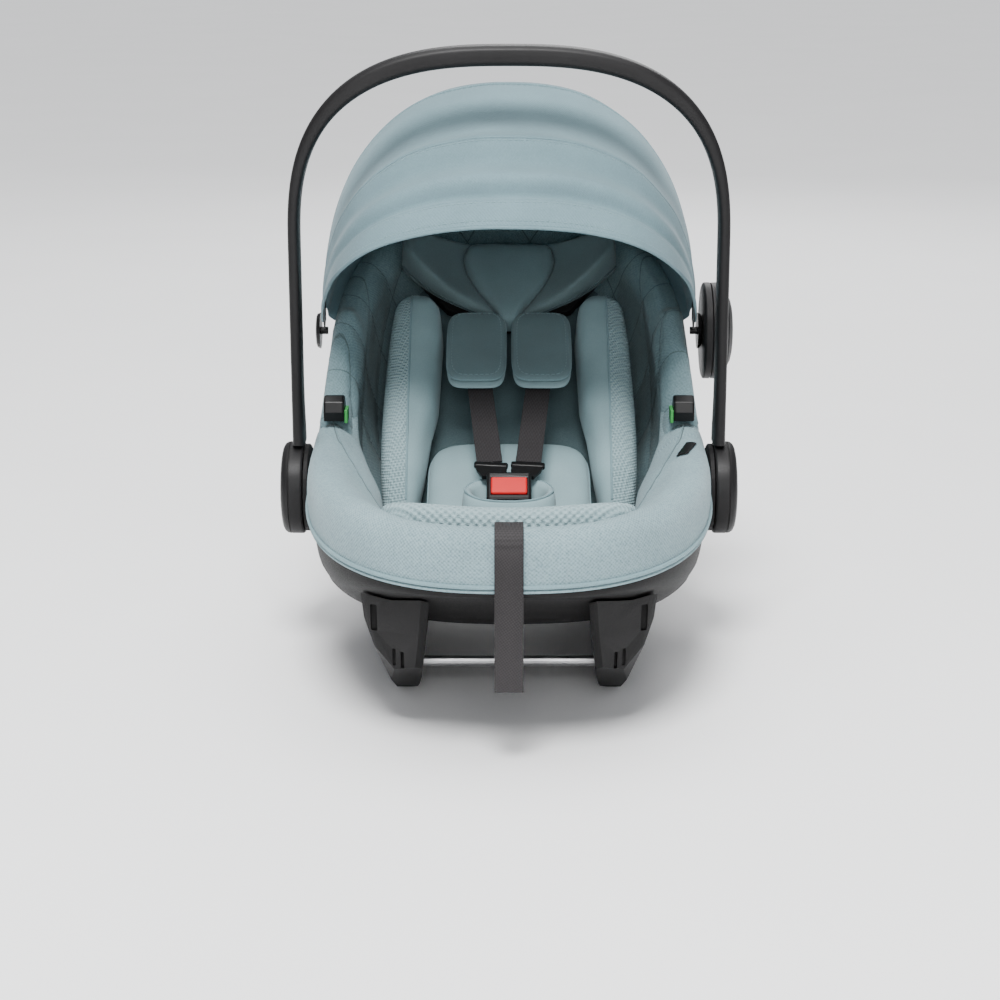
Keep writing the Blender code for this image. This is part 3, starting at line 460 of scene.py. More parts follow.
def brushed_steel(name, dark, light):
    tree, shader, place = material_base(name, 0.34, Metallic=1.0)
    squeezed = node(tree, "VectorMath", {0: place, 1: STREAKS}, operation="MULTIPLY").outputs[0]
    streaks = noise_node(tree, squeezed, 1.0, 3.0)
    base = mixed(tree, ranged(tree, streaks, 0.3, 0.7), dark, light)
    tree.links.new(base, shader.inputs["Base Color"])
    tree.links.new(ranged(tree, streaks, 0.3, 0.7, 0.26, 0.44), shader.inputs["Roughness"])
    set_bump(tree, shader, streaks, 0.15, 0.0002)


def foam(name, colour):
    """Moulded bead foam."""
    tree, shader, place = material_base(name, 0.95)
    beads = node(tree, "TexVoronoi", {"Vector": place, "Scale": 1 / BEAD_SIZE}).outputs["Distance"]
    darker = tuple(channel * 0.55 for channel in colour)
    base = mixed(tree, ranged(tree, beads, 0.2, 0.7), colour, darker)
    tree.links.new(base, shader.inputs["Base Color"])
    set_bump(tree, shader, math_node(tree, "MULTIPLY", beads, -1.0), 0.5, 0.0006)


def paper(name, dark, light):
    """The floor's pale paper, with a slow unevenness of tone."""
    tree, shader, place = material_base(name, 0.9, Specular_IOR_Level=0.2)
    tone = ranged(tree, noise_node(tree, place, 3.0), 0.3, 0.7)
    tree.links.new(mixed(tree, tone, dark, light), shader.inputs["Base Color"])


def make_looks():
    fabric(
        "fabric_melange", (0.247, 0.354, 0.381), (0.134, 0.214, 0.239), 0.0025, bump=0.6, depth=0.0006,
        woven=0.26,
    )
    fabric("fabric_canopy", (0.158, 0.248, 0.277), (0.131, 0.212, 0.241), 0.0022, bump=0.3, woven=0.10)
    fabric(
        "fabric_lining", (0.189, 0.285, 0.308), (0.120, 0.195, 0.216), 0.0025, depth=0.0005, woven=0.16,
        quilted=True,
    )
    # A darker copy of the lining fabric: painted shade for the cushions deep in the seat, and for the armrest
    # seams.
    fabric("fabric_lining_plain", (0.110, 0.165, 0.177), (0.083, 0.130, 0.141), 0.0014)
    fabric("fabric_insert", (0.248, 0.360, 0.384), (0.213, 0.318, 0.340), 0.0012, bump=0.25)
    # A darker copy of the insert fabric: painted shade for the headrest wings, which lie in the canopy's shade.
    fabric("fabric_insert_dark", (0.138, 0.196, 0.206), (0.109, 0.160, 0.169), 0.0012)
    fabric("fabric_pad", (0.152, 0.226, 0.241), (0.127, 0.194, 0.208), 0.0012, bump=0.25)
    fabric("piping", (0.216, 0.325, 0.352), (0.147, 0.236, 0.261), 0.0010)
    fabric("thread", (0.230, 0.335, 0.359), (0.152, 0.240, 0.263), 0.0006)
    fabric("seam_shadow", (0.074, 0.115, 0.124), (0.051, 0.084, 0.092), 0.0008)
    knit("knit_mesh", (0.304, 0.425, 0.449), (0.184, 0.276, 0.296), 0.0027, depth=0.0008)
    knit("knit_rows", (0.304, 0.425, 0.449), (0.198, 0.294, 0.314), 0.0056, depth=0.0016, mapped=True)
    moulded("shell_plastic", (0.0048, 0.0046, 0.0048), 0.58, grain=0.0006, bump=0.5)
    moulded("handle_plastic", (0.0080, 0.0076, 0.0080), 0.44, wear=0.25)
    moulded("gloss_plastic", (0.0050, 0.0048, 0.0050), 0.34, coat=0.06)
    moulded("grip_rubber", (0.0065, 0.0062, 0.0065), 0.70, grain=0.0005, bump=0.4)
    moulded("red_plastic", (0.520, 0.010, 0.012), 0.38, wear=0.0)
    moulded("green_plastic", (0.040, 0.260, 0.060), 0.42, wear=0.0)
    woven_strap("webbing", (0.030, 0.0270, 0.0285), (0.014, 0.0125, 0.0132))
    foam("liner_foam", (0.060, 0.060, 0.063))
    brushed_steel("steel", (0.42, 0.42, 0.43), (0.60, 0.60, 0.61))
    paper("floor_paper", (0.925, 0.927, 0.930), (0.945, 0.947, 0.950))


# Shapes

def mix(start, end, share):
    return start + (end - start) * share


def smooth(share):
    share = min(max(share, 0.0), 1.0)
    return share * share * (3 - 2 * share)


def signed_power(value, power):
    return copysign(abs(value) ** power, value)


def turns_round(count):
    return [2 * pi * k / count for k in range(count)]


def path_lengths(line):
    """How far along the line each of its points is."""
    lengths = [0.0]
    for first, second in zip(line, line[1:]):
        lengths.append(lengths[-1] + (second - first).length)
    return lengths


def curve_through(points, at):
    """The height at one place on a smooth curve through a few points."""
    places = [place for place, _ in points]
    at = min(max(at, places[0]), places[-1])
    last = len(points) - 1
    i = max(k for k in range(last) if places[k] <= at)
    before, after = max(i - 1, 0), min(i + 2, last)
    span = places[i + 1] - places[i]
    slope_0 = (points[i + 1][1] - points[before][1]) / (places[i + 1] - places[before]) * span
    slope_1 = (points[after][1] - points[i][1]) / (places[after] - places[i]) * span
    t = (at - places[i]) / span
    start, end = points[i][1], points[i + 1][1]
    rise = (2 * t**3 - 3 * t**2 + 1) * start + (3 * t**2 - 2 * t**3) * end
    return rise + (t**3 - 2 * t**2 + t) * slope_0 + (t**3 - t**2) * slope_1


def bumps(at, rows):
    """The sum of smooth bumps, each given as (place, height, spread)."""
    return sum(height * exp(-((at - place) / spread) ** 2) for place, height, spread in rows)


def spline(points, count, closed=False):
    """Even points along a smooth curve through a few points."""
    points = [Vector(point) for point in points]
    total = len(points)
    spans = total if closed else total - 1
    fine = []
    for i in range(spans):
        picked = [i - 1, i, i + 1, i + 2]
        if closed:
            picked = [k % total for k in picked]
        else:
            picked = [min(max(k, 0), total - 1) for k in picked]
        a, b, c, d = (points[k] for k in picked)
        for step in range(16):
            t = step / 16
            bend = (2 * a - 5 * b + 4 * c - d) * t * t + (3 * b - a - 3 * c + d) * t**3
            fine.append(0.5 * (2 * b + (c - a) * t + bend))
    fine.append(points[0] if closed else points[-1])
    return evenly(fine, count, closed)


def evenly(line, count, closed=False):
    """The same line as count points at equal distances. A closed line doesn't repeat its first."""
    lengths = path_lengths(line)
    gaps = count if closed else count - 1
    made, k = [], 0
    for step in range(count):
        target = lengths[-1] * step / gaps
        while k < len(line) - 2 and lengths[k + 1] < target:
            k += 1
        span = lengths[k + 1] - lengths[k]
        made.append(line[k].lerp(line[k + 1], (target - lengths[k]) / span if span else 0.0))
    return made


def new_object(name, data):
    made = bpy.data.objects.new(name, data)
    bpy.context.scene.collection.objects.link(made)
    return made


def set_look(obj, look):
    obj.data.materials.clear()
    obj.data.materials.append(LOOKS[look])


def add_mesh(name, points, faces, look, body, replaced=(), sharp=40, cloth=None):
    """A smooth-shaded piece on a body. cloth gives each point's place on the flat cloth, in metres."""
    mesh = bpy.data.meshes.new(name)
    mesh.from_pydata([tuple(point) for point in points], [], faces)
    if cloth:
        lay_cloth(mesh, cloth)
    form = bmesh.new()
    form.from_mesh(mesh)
    bmesh.ops.recalc_face_normals(form, faces=form.faces)
    form.to_mesh(mesh)
    form.free()
    mesh.shade_smooth()
    mesh.set_sharp_from_angle(angle=radians(sharp))
    made = new_object(name, mesh)
    set_look(made, look)
    if body:
        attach(made, body)
    if replaced:
        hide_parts(*replaced)
    return made


def lay_cloth(mesh, cloth):
    """A UV map in metres. A face across the join of a closed ring keeps its corners together."""
    layer = mesh.uv_layers.new(name="cloth")
    width = max(u for u, _ in cloth)
    for polygon in mesh.polygons:
        first = cloth[mesh.loops[polygon.loop_start].vertex_index]
        for loop in polygon.loop_indices:
            u, v = cloth[mesh.loops[loop].vertex_index]
            if abs(u - first[0]) > width / 2:
                u += copysign(width, first[0] - u)
            layer.data[loop].uv = (u, v)


def cloth_places(rings):
    """(along the rings, across them) in metres for each point of a set of rings."""
    places, along = [], 0.0
    middle = len(rings[0]) // 4
    for j, ring in enumerate(rings):
        if j:
            along += (ring[middle] - rings[j - 1][middle]).length
        across = 0.0
        for k, point in enumerate(ring):
            if k:
                across += (point - ring[k - 1]).length
            places.append((along, across))
    return places


def ring_faces(rings, around, closed_rings=False, closed_around=True, caps=False):
    """Quads between rings of equal length, whose points are numbered in order."""
    faces = []
    last = rings if closed_rings else rings - 1
    for j in range(last):
        for k in range(around if closed_around else around - 1):
            here, there = j * around, (j + 1) % rings * around
            following = (k + 1) % around
            faces.append((here + k, here + following, there + following, there + k))
    if caps:
        faces.append(tuple(range(around)))
        faces.append(tuple((rings - 1) * around + k for k in reversed(range(around))))
    return faces


def fan_faces(start, count, tip):
    """Triangles from a ring of points to one point."""
    return [(start + k, start + (k + 1) % count, tip) for k in range(count)]


def flat(rings):
    return [point for ring in rings for point in ring]


def frames_along(line, closed=False, up=Vector((0, 0, 1))):
    """(point, side, up) along a line, turning as little as it can."""
    made, count = [], len(line)
    for i, point in enumerate(line):
        before = line[i - 1] if closed else line[max(i - 1, 0)]
        after = line[(i + 1) % count] if closed else line[min(i + 1, count - 1)]
        along = (after - before).normalized()
        side = along.cross(up)
        side = side.normalized() if side.length > 1e-4 else Vector((1, 0, 0))
        up = side.cross(along).normalized()
        made.append((point, side, up))
    return made


def tube_data(line, radius, around=8, closed=False):
    turns = turns_round(around)
    rings = []
    for point, side, up in frames_along(line, closed):
        rings.append([point + side * (radius * cos(a)) + up * (radius * sin(a)) for a in turns])
    return flat(rings), ring_faces(len(rings), around, closed, True, not closed)


def add_tube(name, line, radius, look, body, around=8, closed=False):
    add_mesh(name, *tube_data(line, radius, around, closed), look, body)


def joined(parts):
    points, faces = [], []
    for more_points, more_faces in parts:
        start = len(points)
        points += more_points
        faces += [tuple(k + start for k in face) for face in more_faces]
    return points, faces


def stitch_data(line):
    """A row of short thread stitches along a line."""
    step = STITCH_LENGTH + STITCH_GAP
    count = max(2, int(path_lengths(line)[-1] / step))
    share = STITCH_LENGTH / step
    fine = evenly(line, count * 3 + 1)
    parts = []
    for k in range(count):
        first, second = fine[3 * k], fine[3 * k + 1].lerp(fine[3 * k + 2], max(0.0, share * 3 - 1))
        parts.append(tube_data([first, first.lerp(second, 0.5), second], STITCH_RADIUS, 5))
    return joined(parts)


def revolve(profile, centre, sides=96, ring=False):
    """A form turned about an X axis, from (x, radius) points. Its ends are capped, or meet in a ring."""
    turns = turns_round(sides)
    rings = [[centre + Vector((x, radius * sin(a), radius * cos(a))) for a in turns] for x, radius in profile]
    return flat(rings), ring_faces(len(rings), sides, closed_rings=ring, caps=not ring)


# Camera, lights and floor

def add_camera():
    data = bpy.data.cameras.new("camera")
    data.lens = CAMERA_LENS
    data.sensor_width = 36.0
    data.shift_x, data.shift_y = CAMERA_SHIFT
    data.clip_end = 60.0
    camera = new_object("camera", data)
    back = Vector((0, -cos(CAMERA_ELEVATION), sin(CAMERA_ELEVATION)))
    place_facing(camera, HUB + back * CAMERA_DISTANCE, -back)
    bpy.context.scene.camera = camera


def place_facing(obj, place, direction):
    """Puts a camera or light at a place, so that it looks in a direction."""
    obj.location = place
    obj.rotation_mode = "QUATERNION"
    obj.rotation_quaternion = direction.to_track_quat("-Z", "Y")


def add_area_light(name, place, size, watts):
    data = bpy.data.lights.new(name, "AREA")
    data.shape = "DISK"
    data.size = size
    data.energy = watts
    place_facing(new_object(name, data), place, Vector(LIGHT_AIM) - Vector(place))


def add_lights():
    for light in AREA_LIGHTS:
        add_area_light(*light)
    sky = bpy.data.lights.new("sky", "SUN")
    sky.energy = SKY_STRENGTH
    sky.angle = SKY_SPREAD
    new_object("sky", sky).rotation_euler = (SKY_TILT, 0, 0)
    world = bpy.data.worlds.new("studio")
    world.use_nodes = True
    background = world.node_tree.nodes["Background"]
    background.inputs["Color"].default_value = WORLD_COLOUR
    background.inputs["Strength"].default_value = WORLD_STRENGTH
    bpy.context.scene.world = world


def add_floor():
    """A wide pale floor, with a very slow rise far from the object."""
    turns = turns_round(64)
    rings = []
    for radius, rise in FLOOR_RINGS:
        rings.append([Vector((radius * cos(a), radius * sin(a), rise)) for a in turns])
    faces = ring_faces(len(rings), len(turns)) + [tuple(range(len(turns)))]
    add_mesh("floor", flat(rings), faces, "floor_paper", None)


# The adjuster strap, which hangs over the front of the rim

def webbing_data(line, width=WEBBING, across=X_AXIS):
    """Flat webbing along a line, with thicker rolled edges. across is roughly its width's direction."""
    rings = []
    for i, point in enumerate(line):
        along = (line[min(i + 1, len(line) - 1)] - line[max(i - 1, 0)]).normalized()
        side = (across - along * across.dot(along)).normalized()
        up = side.cross(along)
        rings.append([point + side * (width * a) + up * (WEBBING_THICKNESS * b) for a, b in WEBBING_SECTION])
    return flat(rings), ring_faces(len(rings), len(WEBBING_SECTION), caps=True)


def add_adjuster_strap():
    line = spline([HUB + Vector(point) for point in ADJUSTER_STRAP], 60)
    strap = add_mesh("adjuster_webbing", *webbing_data(line), "webbing", "carrier", ("adjuster_strap",), 60)


# The rim's roll of padding, and the bowl inside it

def rim_plan(turn, inset=0.0):
    power = HEAD_POWER if sin(turn) > 0 else RIM_POWER
    x = (HALF_WIDTH - inset) * signed_power(cos(turn), 2 / power)
    y = RIM_CENTRE_Y + (HALF_LENGTH - inset) * signed_power(sin(turn), 2 / power)
    return x * (1 - HEAD_TAPER * smooth(y / TAPER_Y)), y


def rim_height(turn):
    return curve_through(RIM_HEIGHTS, rim_plan(turn)[1])


def even_turns(count):
    """Turns round the rim at equal distances along it."""
    turns = turns_round(RIM_STEPS)
    places = [Vector((*rim_plan(turn), rim_height(turn))) for turn in turns]
    lengths = path_lengths(places + places[:1])
    picked, k = [], 0
    for step in range(count):
        while lengths[k] < lengths[-1] * step / count:
            k += 1
        picked.append(turns[k % RIM_STEPS])
    return picked


def roll_section(turn):
    """The roll's section as (inset, height over the rim), full and rounded on top."""
    place_y = rim_plan(turn)[1]
    width = curve_through(ROLL_WIDTHS, place_y)
    sink = (width - 0.030) * 0.62
    inner_top = -0.010 - sink
    lowered = REAR_STEP * smooth((place_y - ROLL_END) / 0.014)
    points = (
        *ROLL_OUTSIDE,
        (mix(0.0175, width, 0.30), -0.13 * sink), (mix(0.0175, width, 0.55), 0.36 * inner_top),
        (mix(0.0175, width, 0.80), 0.66 * inner_top), (width - 0.0012, inner_top - 0.0016),
        (width + 0.0008, inner_top - 0.0100), (width, -0.0310 - sink),
        (mix(width, 0.027, 0.5), -0.0310 - sink / 2), (0.0270, -0.0310), (0.0080, -0.0305),
        (0.0048, -0.0340), (0.0044, -0.0500),
    )
    return [
        Vector((inset, 0.0, height - lowered * smooth((height + 0.030) / 0.024))) for inset, height in points
    ]


def roll_place(turn, inset, height):
    return HUB + Vector((*rim_plan(turn, inset), rim_height(turn) + height))


def wrinkle(point, size, depth):
    """A slow unevenness, as padding under cloth has."""
    return depth * noise.noise(point / size)


def swell(point):
    """How far the roll's padding lifts its cloth at a point."""
    return wrinkle(point, 0.050, 0.0011)


def add_cover():
    """The cover's roll in one piece, with its piping and its seams laid on it."""
    rings = []
    for turn in even_turns(260):
        ring = []
        for place in spline(roll_section(turn), ROLL_AROUND, closed=True):
            point = roll_place(turn, place.x, place.z)
            lift = swell(point) if place.z > -0.028 else 0.0
            ring.append(point + Vector((0, 0, lift)))
        rings.append(ring)
    faces = ring_faces(len(rings), ROLL_AROUND, closed_rings=True)
    nodes = ("cover_front", "cover_side_left", "cover_side_right", "cover_head")
    cloth = cloth_places(rings)
    cover = add_mesh("cover_roll", flat(rings), faces, "fabric_melange", "carrier", nodes, 60, cloth)
    for name, inset, height, radius, look in COVER_PIPINGS:
        line = [roll_place(turn, inset, height) for turn in even_turns(220)]
        add_tube(name, line, radius, look, "carrier", closed=True)
    add_cover_seams()


def on_roll(turn, share, fine, lift):
    """A point over the roll's top: share is 0 at its outer edge and 1 at its inner edge."""
    top = spline(roll_section(turn)[3:12], fine)
    place = top[int(round(share * (fine - 1)))]
    point = roll_place(turn, place.x, place.z)
    return point + Vector((0, 0, swell(point) + lift))


def surface_line(turn_at, share_at, count=30):
    """A line over the roll's top. Its turn and share are functions of how far along it a point is."""
    steps = [k / (count - 1) for k in range(count)]
    return [on_roll(turn_at(t), share_at(t), 60, 0.0003) for t in steps]


def roll_patch(turns, shares, width, lift, columns, rows):
    """A small sheet that lies on the roll. turns and shares are those of its middle line's two ends."""
    points = []
    for j in range(columns):
        along = j / (columns - 1)
        for k in range(rows):
            share = mix(*shares, along) + (k / (rows - 1) - 0.5) * width
            points.append(on_roll(mix(*turns, along), share, 200, lift))
    return points, ring_faces(columns, rows, closed_around=False)


def seam_turn(side, t):
    turn = mix(radians(2), radians(-37), smooth(t) * 0.75 + t * 0.25)
    return turn if side > 0 else pi - turn


def add_cover_seams():
    """A stitched seam runs down each armrest to the front corner of the seat."""
    for name, side in SIDES.items():
        line = surface_line(lambda t: seam_turn(side, t), lambda t: mix(0.36, 0.97, t))
        # The seam's tube is in the darker lining copy: painted shade along the seam.
        add_tube(f"cover_seam_{name}", line, 0.0006, "fabric_lining_plain", "carrier", 6)
        beside = surface_line(lambda t: seam_turn(side, t) + 0.014 * side, lambda t: mix(0.37, 0.97, t))
        add_mesh(f"cover_stitches_{name}", *stitch_data(beside), "thread", "carrier")


def bowl_point(turn, fall, inset):
    """A point on the bowl: fall is 0 at its upper edge and 1 at its lowest line."""
    angle = fall * pi / 2
    shrink = cos(angle) ** (2 / BOWL_POWER) if fall < 1 else 0.0
    drop = sin(angle) ** (2 / BOWL_POWER)
    x, y = rim_plan(turn, inset)
    y = RIM_CENTRE_Y + (y - RIM_CENTRE_Y) * shrink
    top = rim_height(turn) - BAND + inset * INSET_LIFT
    z = top + (curve_through(KEEL_HEIGHTS, y) + inset - top) * drop
    return HUB + Vector((x * shrink, y, z))


def quilting(across, down):
    """The height of a puffed diamond, 0 on its sewn lines and 1 in its middle."""
    first = abs(sin(pi * (across + down) / QUILT_SIZE))
    second = abs(sin(pi * (across - down) / QUILT_SIZE))
    return min(first, second, 0.75) ** 0.30


def lining_section(turn):
    """The lining's upper part as (inset, height over the rim). Behind the armrests it covers the roll."""
    place_y = rim_plan(turn)[1]
    over = smooth((place_y - ROLL_END - 0.004) / 0.012)
    wall = 0.016 * smooth((place_y - 0.062) / 0.040) * smooth((0.165 - place_y) / 0.035)
    low = [(LINING_INSET, height) for height in (-0.0400, -0.0403, -0.0406, -0.0410)]
    high = (
        (0.0028, -0.0068), (0.0070, 0.0020 + wall), (0.0230, 0.0010 + wall), (0.0340, -0.0180 + wall / 3)
    )
    points = [Vector((mix(a, c, over), 0, mix(b, d, over))) for (a, b), (c, d) in zip(low, high)]
    points.append(Vector((LINING_INSET, 0, -BAND + LINING_INSET * INSET_LIFT - 0.0008)))
    return spline(points, 20)


def add_lining():
    """The quilted lining: its diamonds puff out of the bowl, and its lines are sewn down."""
    columns = []
    for turn in even_turns(380):
        column = [roll_place(turn, place.x, place.z) for place in lining_section(turn)]
        column += [bowl_point(turn, 0.97 * (k / 40), LINING_INSET) for k in range(1, 41)]
        columns.append(column)
    count, rows = len(columns), len(columns[0])
    girths = [LINING_GIRTH * k / count for k in range(count)]
    rings = []
    for j in range(rows):
        ring = []
        for girth, column in zip(girths, columns):
            puff = QUILT_PUFF * quilting(girth, QUILT_SLANT * column[j].z)
            towards = Vector((0, 0.02, HUB.z + 0.10)) - column[j]
            ring.append(column[j] + towards.normalized() * (puff * smooth(j / 5)))
        rings.append(ring)
    points = flat(rings) + [bowl_point(0.0, 1.0, LINING_INSET)]
    faces = ring_faces(rows, count) + fan_faces((rows - 1) * count, count, len(points) - 1)
    depths = [path_lengths(column) for column in columns]
    cloth = [(girth, depth[j]) for j in range(rows) for girth, depth in zip(girths, depths)]
    cloth.append((0.0, 0.4))
    lining = add_mesh(
        "lining_quilted", points, faces, "fabric_lining", "carrier", ("seat_lining",), 60, cloth
    )


# The canopy

def canopy_lift(degrees):
    """How far the cloth stands out at one angle: ridges over the bows and a sag between them."""
    return bumps(degrees, CANOPY_RIDGES) - bumps(degrees, CANOPY_SAGS)


def canopy_place(share, degrees, lift=0.0):
    """A point on the canopy: share runs from -1 at the left pivot to 1 at the right one."""
    inward = smooth((degrees - 100) / 45)
    half_width = CANOPY_HALF_WIDTH - 0.0020 * inward
    radius = CANOPY_RADIUS - 0.0150 * inward
    angle = share * pi / 2
    x = half_width * signed_power(sin(angle), 2 / CANOPY_POWER)
    distance = radius * abs(cos(angle)) ** (2 / CANOPY_POWER)
    middle = cos(angle) ** 0.5
    distance += (canopy_lift(degrees) + lift) * middle
    turn = radians(degrees)
    point = PIVOT + Vector((x, -distance * cos(turn), distance * sin(turn)))
    ripple = wrinkle(point + Vector((3.0, 0, 0)), 0.045, 0.0014) * middle
    return point + Vector((x, 0, 0)).normalized() * ripple * abs(share) + Vector((0, 0, ripple * 0.6))


def rim_half_width(y):
    """Half the rim's width at a place along it, in the row frame."""
    share = min(abs(y - HUB.y - RIM_CENTRE_Y) / HALF_LENGTH, 1.0)
    taper = 1 - HEAD_TAPER * smooth((y - HUB.y) / TAPER_Y)
    return HALF_WIDTH * taper * (1 - share**HEAD_POWER) ** (1 / HEAD_POWER)


def tucked_edge(count=8):
    """Rows that carry the cloth from its rear edge down onto the rim of the seat."""
    rows = []
    for k in range(1, count + 1):
        t = k / count
        row = []
        for point in canopy_line(CANOPY_END):
            back = mix(point.y, min(point.y, 0.322), t)
            floor = HUB.z + curve_through(RIM_HEIGHTS, back - HUB.y) - 0.011
            reach = max(rim_half_width(back) - 0.008, 0.0)
            across = copysign(min(abs(point.x), reach), point.x)
            row.append(Vector((mix(point.x, across, smooth(t)), back, mix(point.z, min(floor, point.z), t))))
        rows.append(row)
    return rows


def thicken(obj, thickness):
    solid = obj.modifiers.new("thickness", "SOLIDIFY")
    solid.thickness = thickness
    solid.offset = 0.0


def add_canopy_sheet(name, start, end, steps, bodies, nodes, rests_on):
    """One span of the cloth, from the bow that it hangs behind to the next."""
    rows = [canopy_line(mix(start, end, k / steps)) for k in range(steps + 1)]
    if end == CANOPY_END:
        rows += tucked_edge()
    faces = ring_faces(len(rows), len(rows[0]), closed_around=False)
    sheet = add_mesh(name, flat(rows), faces, "fabric_canopy", None, nodes, 80, cloth_places(rows))
    thicken(sheet, 0.0012)
    canopy_place(0, end)
    canopy_place(0, start)
    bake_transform(sheet)


def canopy_line(degrees, lift=0.0, count=84):
    last = 0.958
    return [canopy_place(mix(-last, last, k / count), degrees, lift) for k in range(count + 1)]


def add_canopy_bow(name):
    """A flat bow inside the cloth, which narrows to its pivots."""
    degrees = CANOPY_BOWS[name]
    turn = radians(degrees)
    across = Vector((0, sin(turn), cos(turn))) * BOW_HALF_WIDTH
    rings = []
    for k in range(91):
        share = mix(-0.985, 0.985, k / 90)
        outer = canopy_place(share, degrees, -canopy_lift(degrees) - 0.0012)
        inner = PIVOT + (outer - PIVOT) * 0.993
        inner.x = outer.x - copysign(0.0016, share) * abs(share) ** 3
        rings.append([outer - across, outer + across, inner + across, inner - across])
    faces = ring_faces(len(rings), 4, caps=True)
    nodes = (f"canopy_bow_{name}",)
    bow = add_mesh(f"canopy_hoop_{name}", flat(rings), faces, "handle_plastic", f"canopy_{name}", nodes, 30)


def add_canopy():
    for name in CANOPY_BOWS:
        add_canopy_bow(name)
    for span in CANOPY_SPANS:
        add_canopy_sheet(*span)
    for name, degrees, lift, radius, body in CANOPY_SEAMS:
        add_tube(name, canopy_line(degrees, lift, 110), radius, "fabric_canopy", body)
    for name, degrees, body in CANOPY_STITCHES:
        add_mesh(name, *stitch_data(canopy_line(degrees, 0.0008, 110)), "thread", body)


# Padded pieces

def back_point(across, along, out):
    """A point by the seat's back: along runs up it from the crease, and out is towards the child."""
    y = BIGHT.y + along * cos(BACK_LEAN) - out * sin(BACK_LEAN)
    z = BIGHT.z + along * sin(BACK_LEAN) + out * cos(BACK_LEAN)
    return HUB + Vector((across, y, z))


def seat_point(across, along, out):
    """A point by the seat's bottom: along runs from the crease to the front, and out is upwards."""
    y = BIGHT.y - along * cos(SEAT_RISE) + out * sin(SEAT_RISE)
    z = BIGHT.z + along * sin(SEAT_RISE) + out * cos(SEAT_RISE)
    return HUB + Vector((across, y, z))


def box_middle(node_name):
    low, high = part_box(node_name)
    return (low + high) / 2


def take_modifiers(obj):
    """Applies the object's modifiers to its mesh."""
    graph = bpy.context.evaluated_depsgraph_get()
    mesh = bpy.data.meshes.new_from_object(obj.evaluated_get(graph))
    obj.modifiers.clear()
    obj.data = mesh


def coordinates(mesh):
    found = np.empty(len(mesh.vertices) * 3, np.float32)
    mesh.vertices.foreach_get("co", found)
    return found.reshape(-1, 3)


def inflate(obj):
    """Blows the cloth skin up a little, moving no point further than the cap."""
    before = coordinates(obj.data)
    cloth = obj.modifiers.new("cloth", "CLOTH")
    cloth.settings.use_pressure = True
    cloth.settings.uniform_pressure_force = CLOTH_PRESSURE
    cloth.settings.effector_weights.gravity = 0.0
    cloth.settings.quality = CLOTH_QUALITY
    cloth.point_cache.frame_start, cloth.point_cache.frame_end = 1, CLOTH_STEPS
    scene = bpy.context.scene
    for step in range(1, CLOTH_STEPS + 1):
        scene.frame_set(step)
    take_modifiers(obj)
    moved = coordinates(obj.data) - before
    length = np.linalg.norm(moved, axis=1, keepdims=True)
    after = before + moved * np.minimum(1.0, CLOTH_CAP / np.maximum(length, 1e-9))
    obj.data.vertices.foreach_set("co", after.astype(np.float32).ravel())
    obj.data.update()
    scene.frame_set(1)


def add_padded(name, node_name, look, voxel, smoothing=6):
    """A padded piece in the space of its CAD solid, with its cloth skin blown out by simulation."""
    made = new_object(name, frame["nodes"][node_name].data.copy())
    remesh = made.modifiers.new("remesh", "REMESH")
    remesh.mode = "VOXEL"
    remesh.voxel_size = voxel
    soften = made.modifiers.new("soften", "SMOOTH")
    soften.factor = 0.5
    soften.iterations = smoothing
    tighten = made.modifiers.new("tighten", "DISPLACE")
    tighten.mid_level = 0.0
    tighten.strength = -SKIN_SHRINK
    take_modifiers(made)
    inflate(made)
    rounded = made.modifiers.new("rounded", "SUBSURF")
    rounded.levels = rounded.render_levels = 1
    take_modifiers(made)
    set_look(made, look)
    made.data.shade_smooth()
    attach(made, "carrier")
    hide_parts(node_name)
    return made


def add_cushions():
    for name in ("seat_cushion", "back_cushion"):
        # The seat and back cushions wear the darker lining copy, whose darkness is painted shade.
        add_padded(f"{name}_soft", name, "fabric_lining_plain", 0.006)
    for name, side in SIDES.items():
        node_name = f"bolster_{name}"
        bolster = add_padded(f"{node_name}_soft", node_name, "fabric_insert", 0.0045, 8)
        add_bolster_side(bolster, name, side)


def add_bolster_side(bolster, name, side):
    """The knitted outer side of a bolster, and the piping where it meets the smooth panel."""
    foot, run = back_point(0, BOLSTER_FOOT, 0), back_point(0, 1, 0) - back_point(0, 0, 0)
    for vertex in bolster.data.vertices:
        vertex.co += run * (BOLSTER_STRETCH * max(0.0, (vertex.co - foot).dot(run)))
    bolster.data.materials.append(LOOKS["knit_mesh"])
    for polygon in bolster.data.polygons:
        if polygon.center.x * side > BOLSTER_SEAM:
            polygon.material_index = 1
    surface = BVHTree.FromObject(bolster, bpy.context.evaluated_depsgraph_get())
    towards = back_point(0, 0, 0) - back_point(0, 0, 1)
    line = []
    for k in range(40):
        start = back_point(side * BOLSTER_SEAM, mix(BOLSTER_FOOT, 0.320, k / 39), 0.16)
        hit = surface.ray_cast(start, towards)[0]
        if hit:
            line.append(hit)
    add_tube(f"bolster_{name}_piping", evenly(line, 80), 0.0012, "piping", "carrier")


def add_base_pad():
    """The insert's base pad, square-shouldered, with a piped edge."""
    turn = Matrix.Translation(box_middle("base_pad")) @ Matrix.Rotation(radians(21.5), 4, "X")
    size, squareness = (0.160, 0.148, 0.034), 5.4
    form = placed(pillow_data(size, squareness, 96, 28), turn)
    pad = add_mesh("base_pad_soft", *form, "fabric_insert", "carrier", ("base_pad",), 80)
    piping = placed(piping_data(outline(size, squareness, 0.0, -0.0002), 0.0012), turn)
    add_mesh("base_pad_piping", *piping, "piping", "carrier")


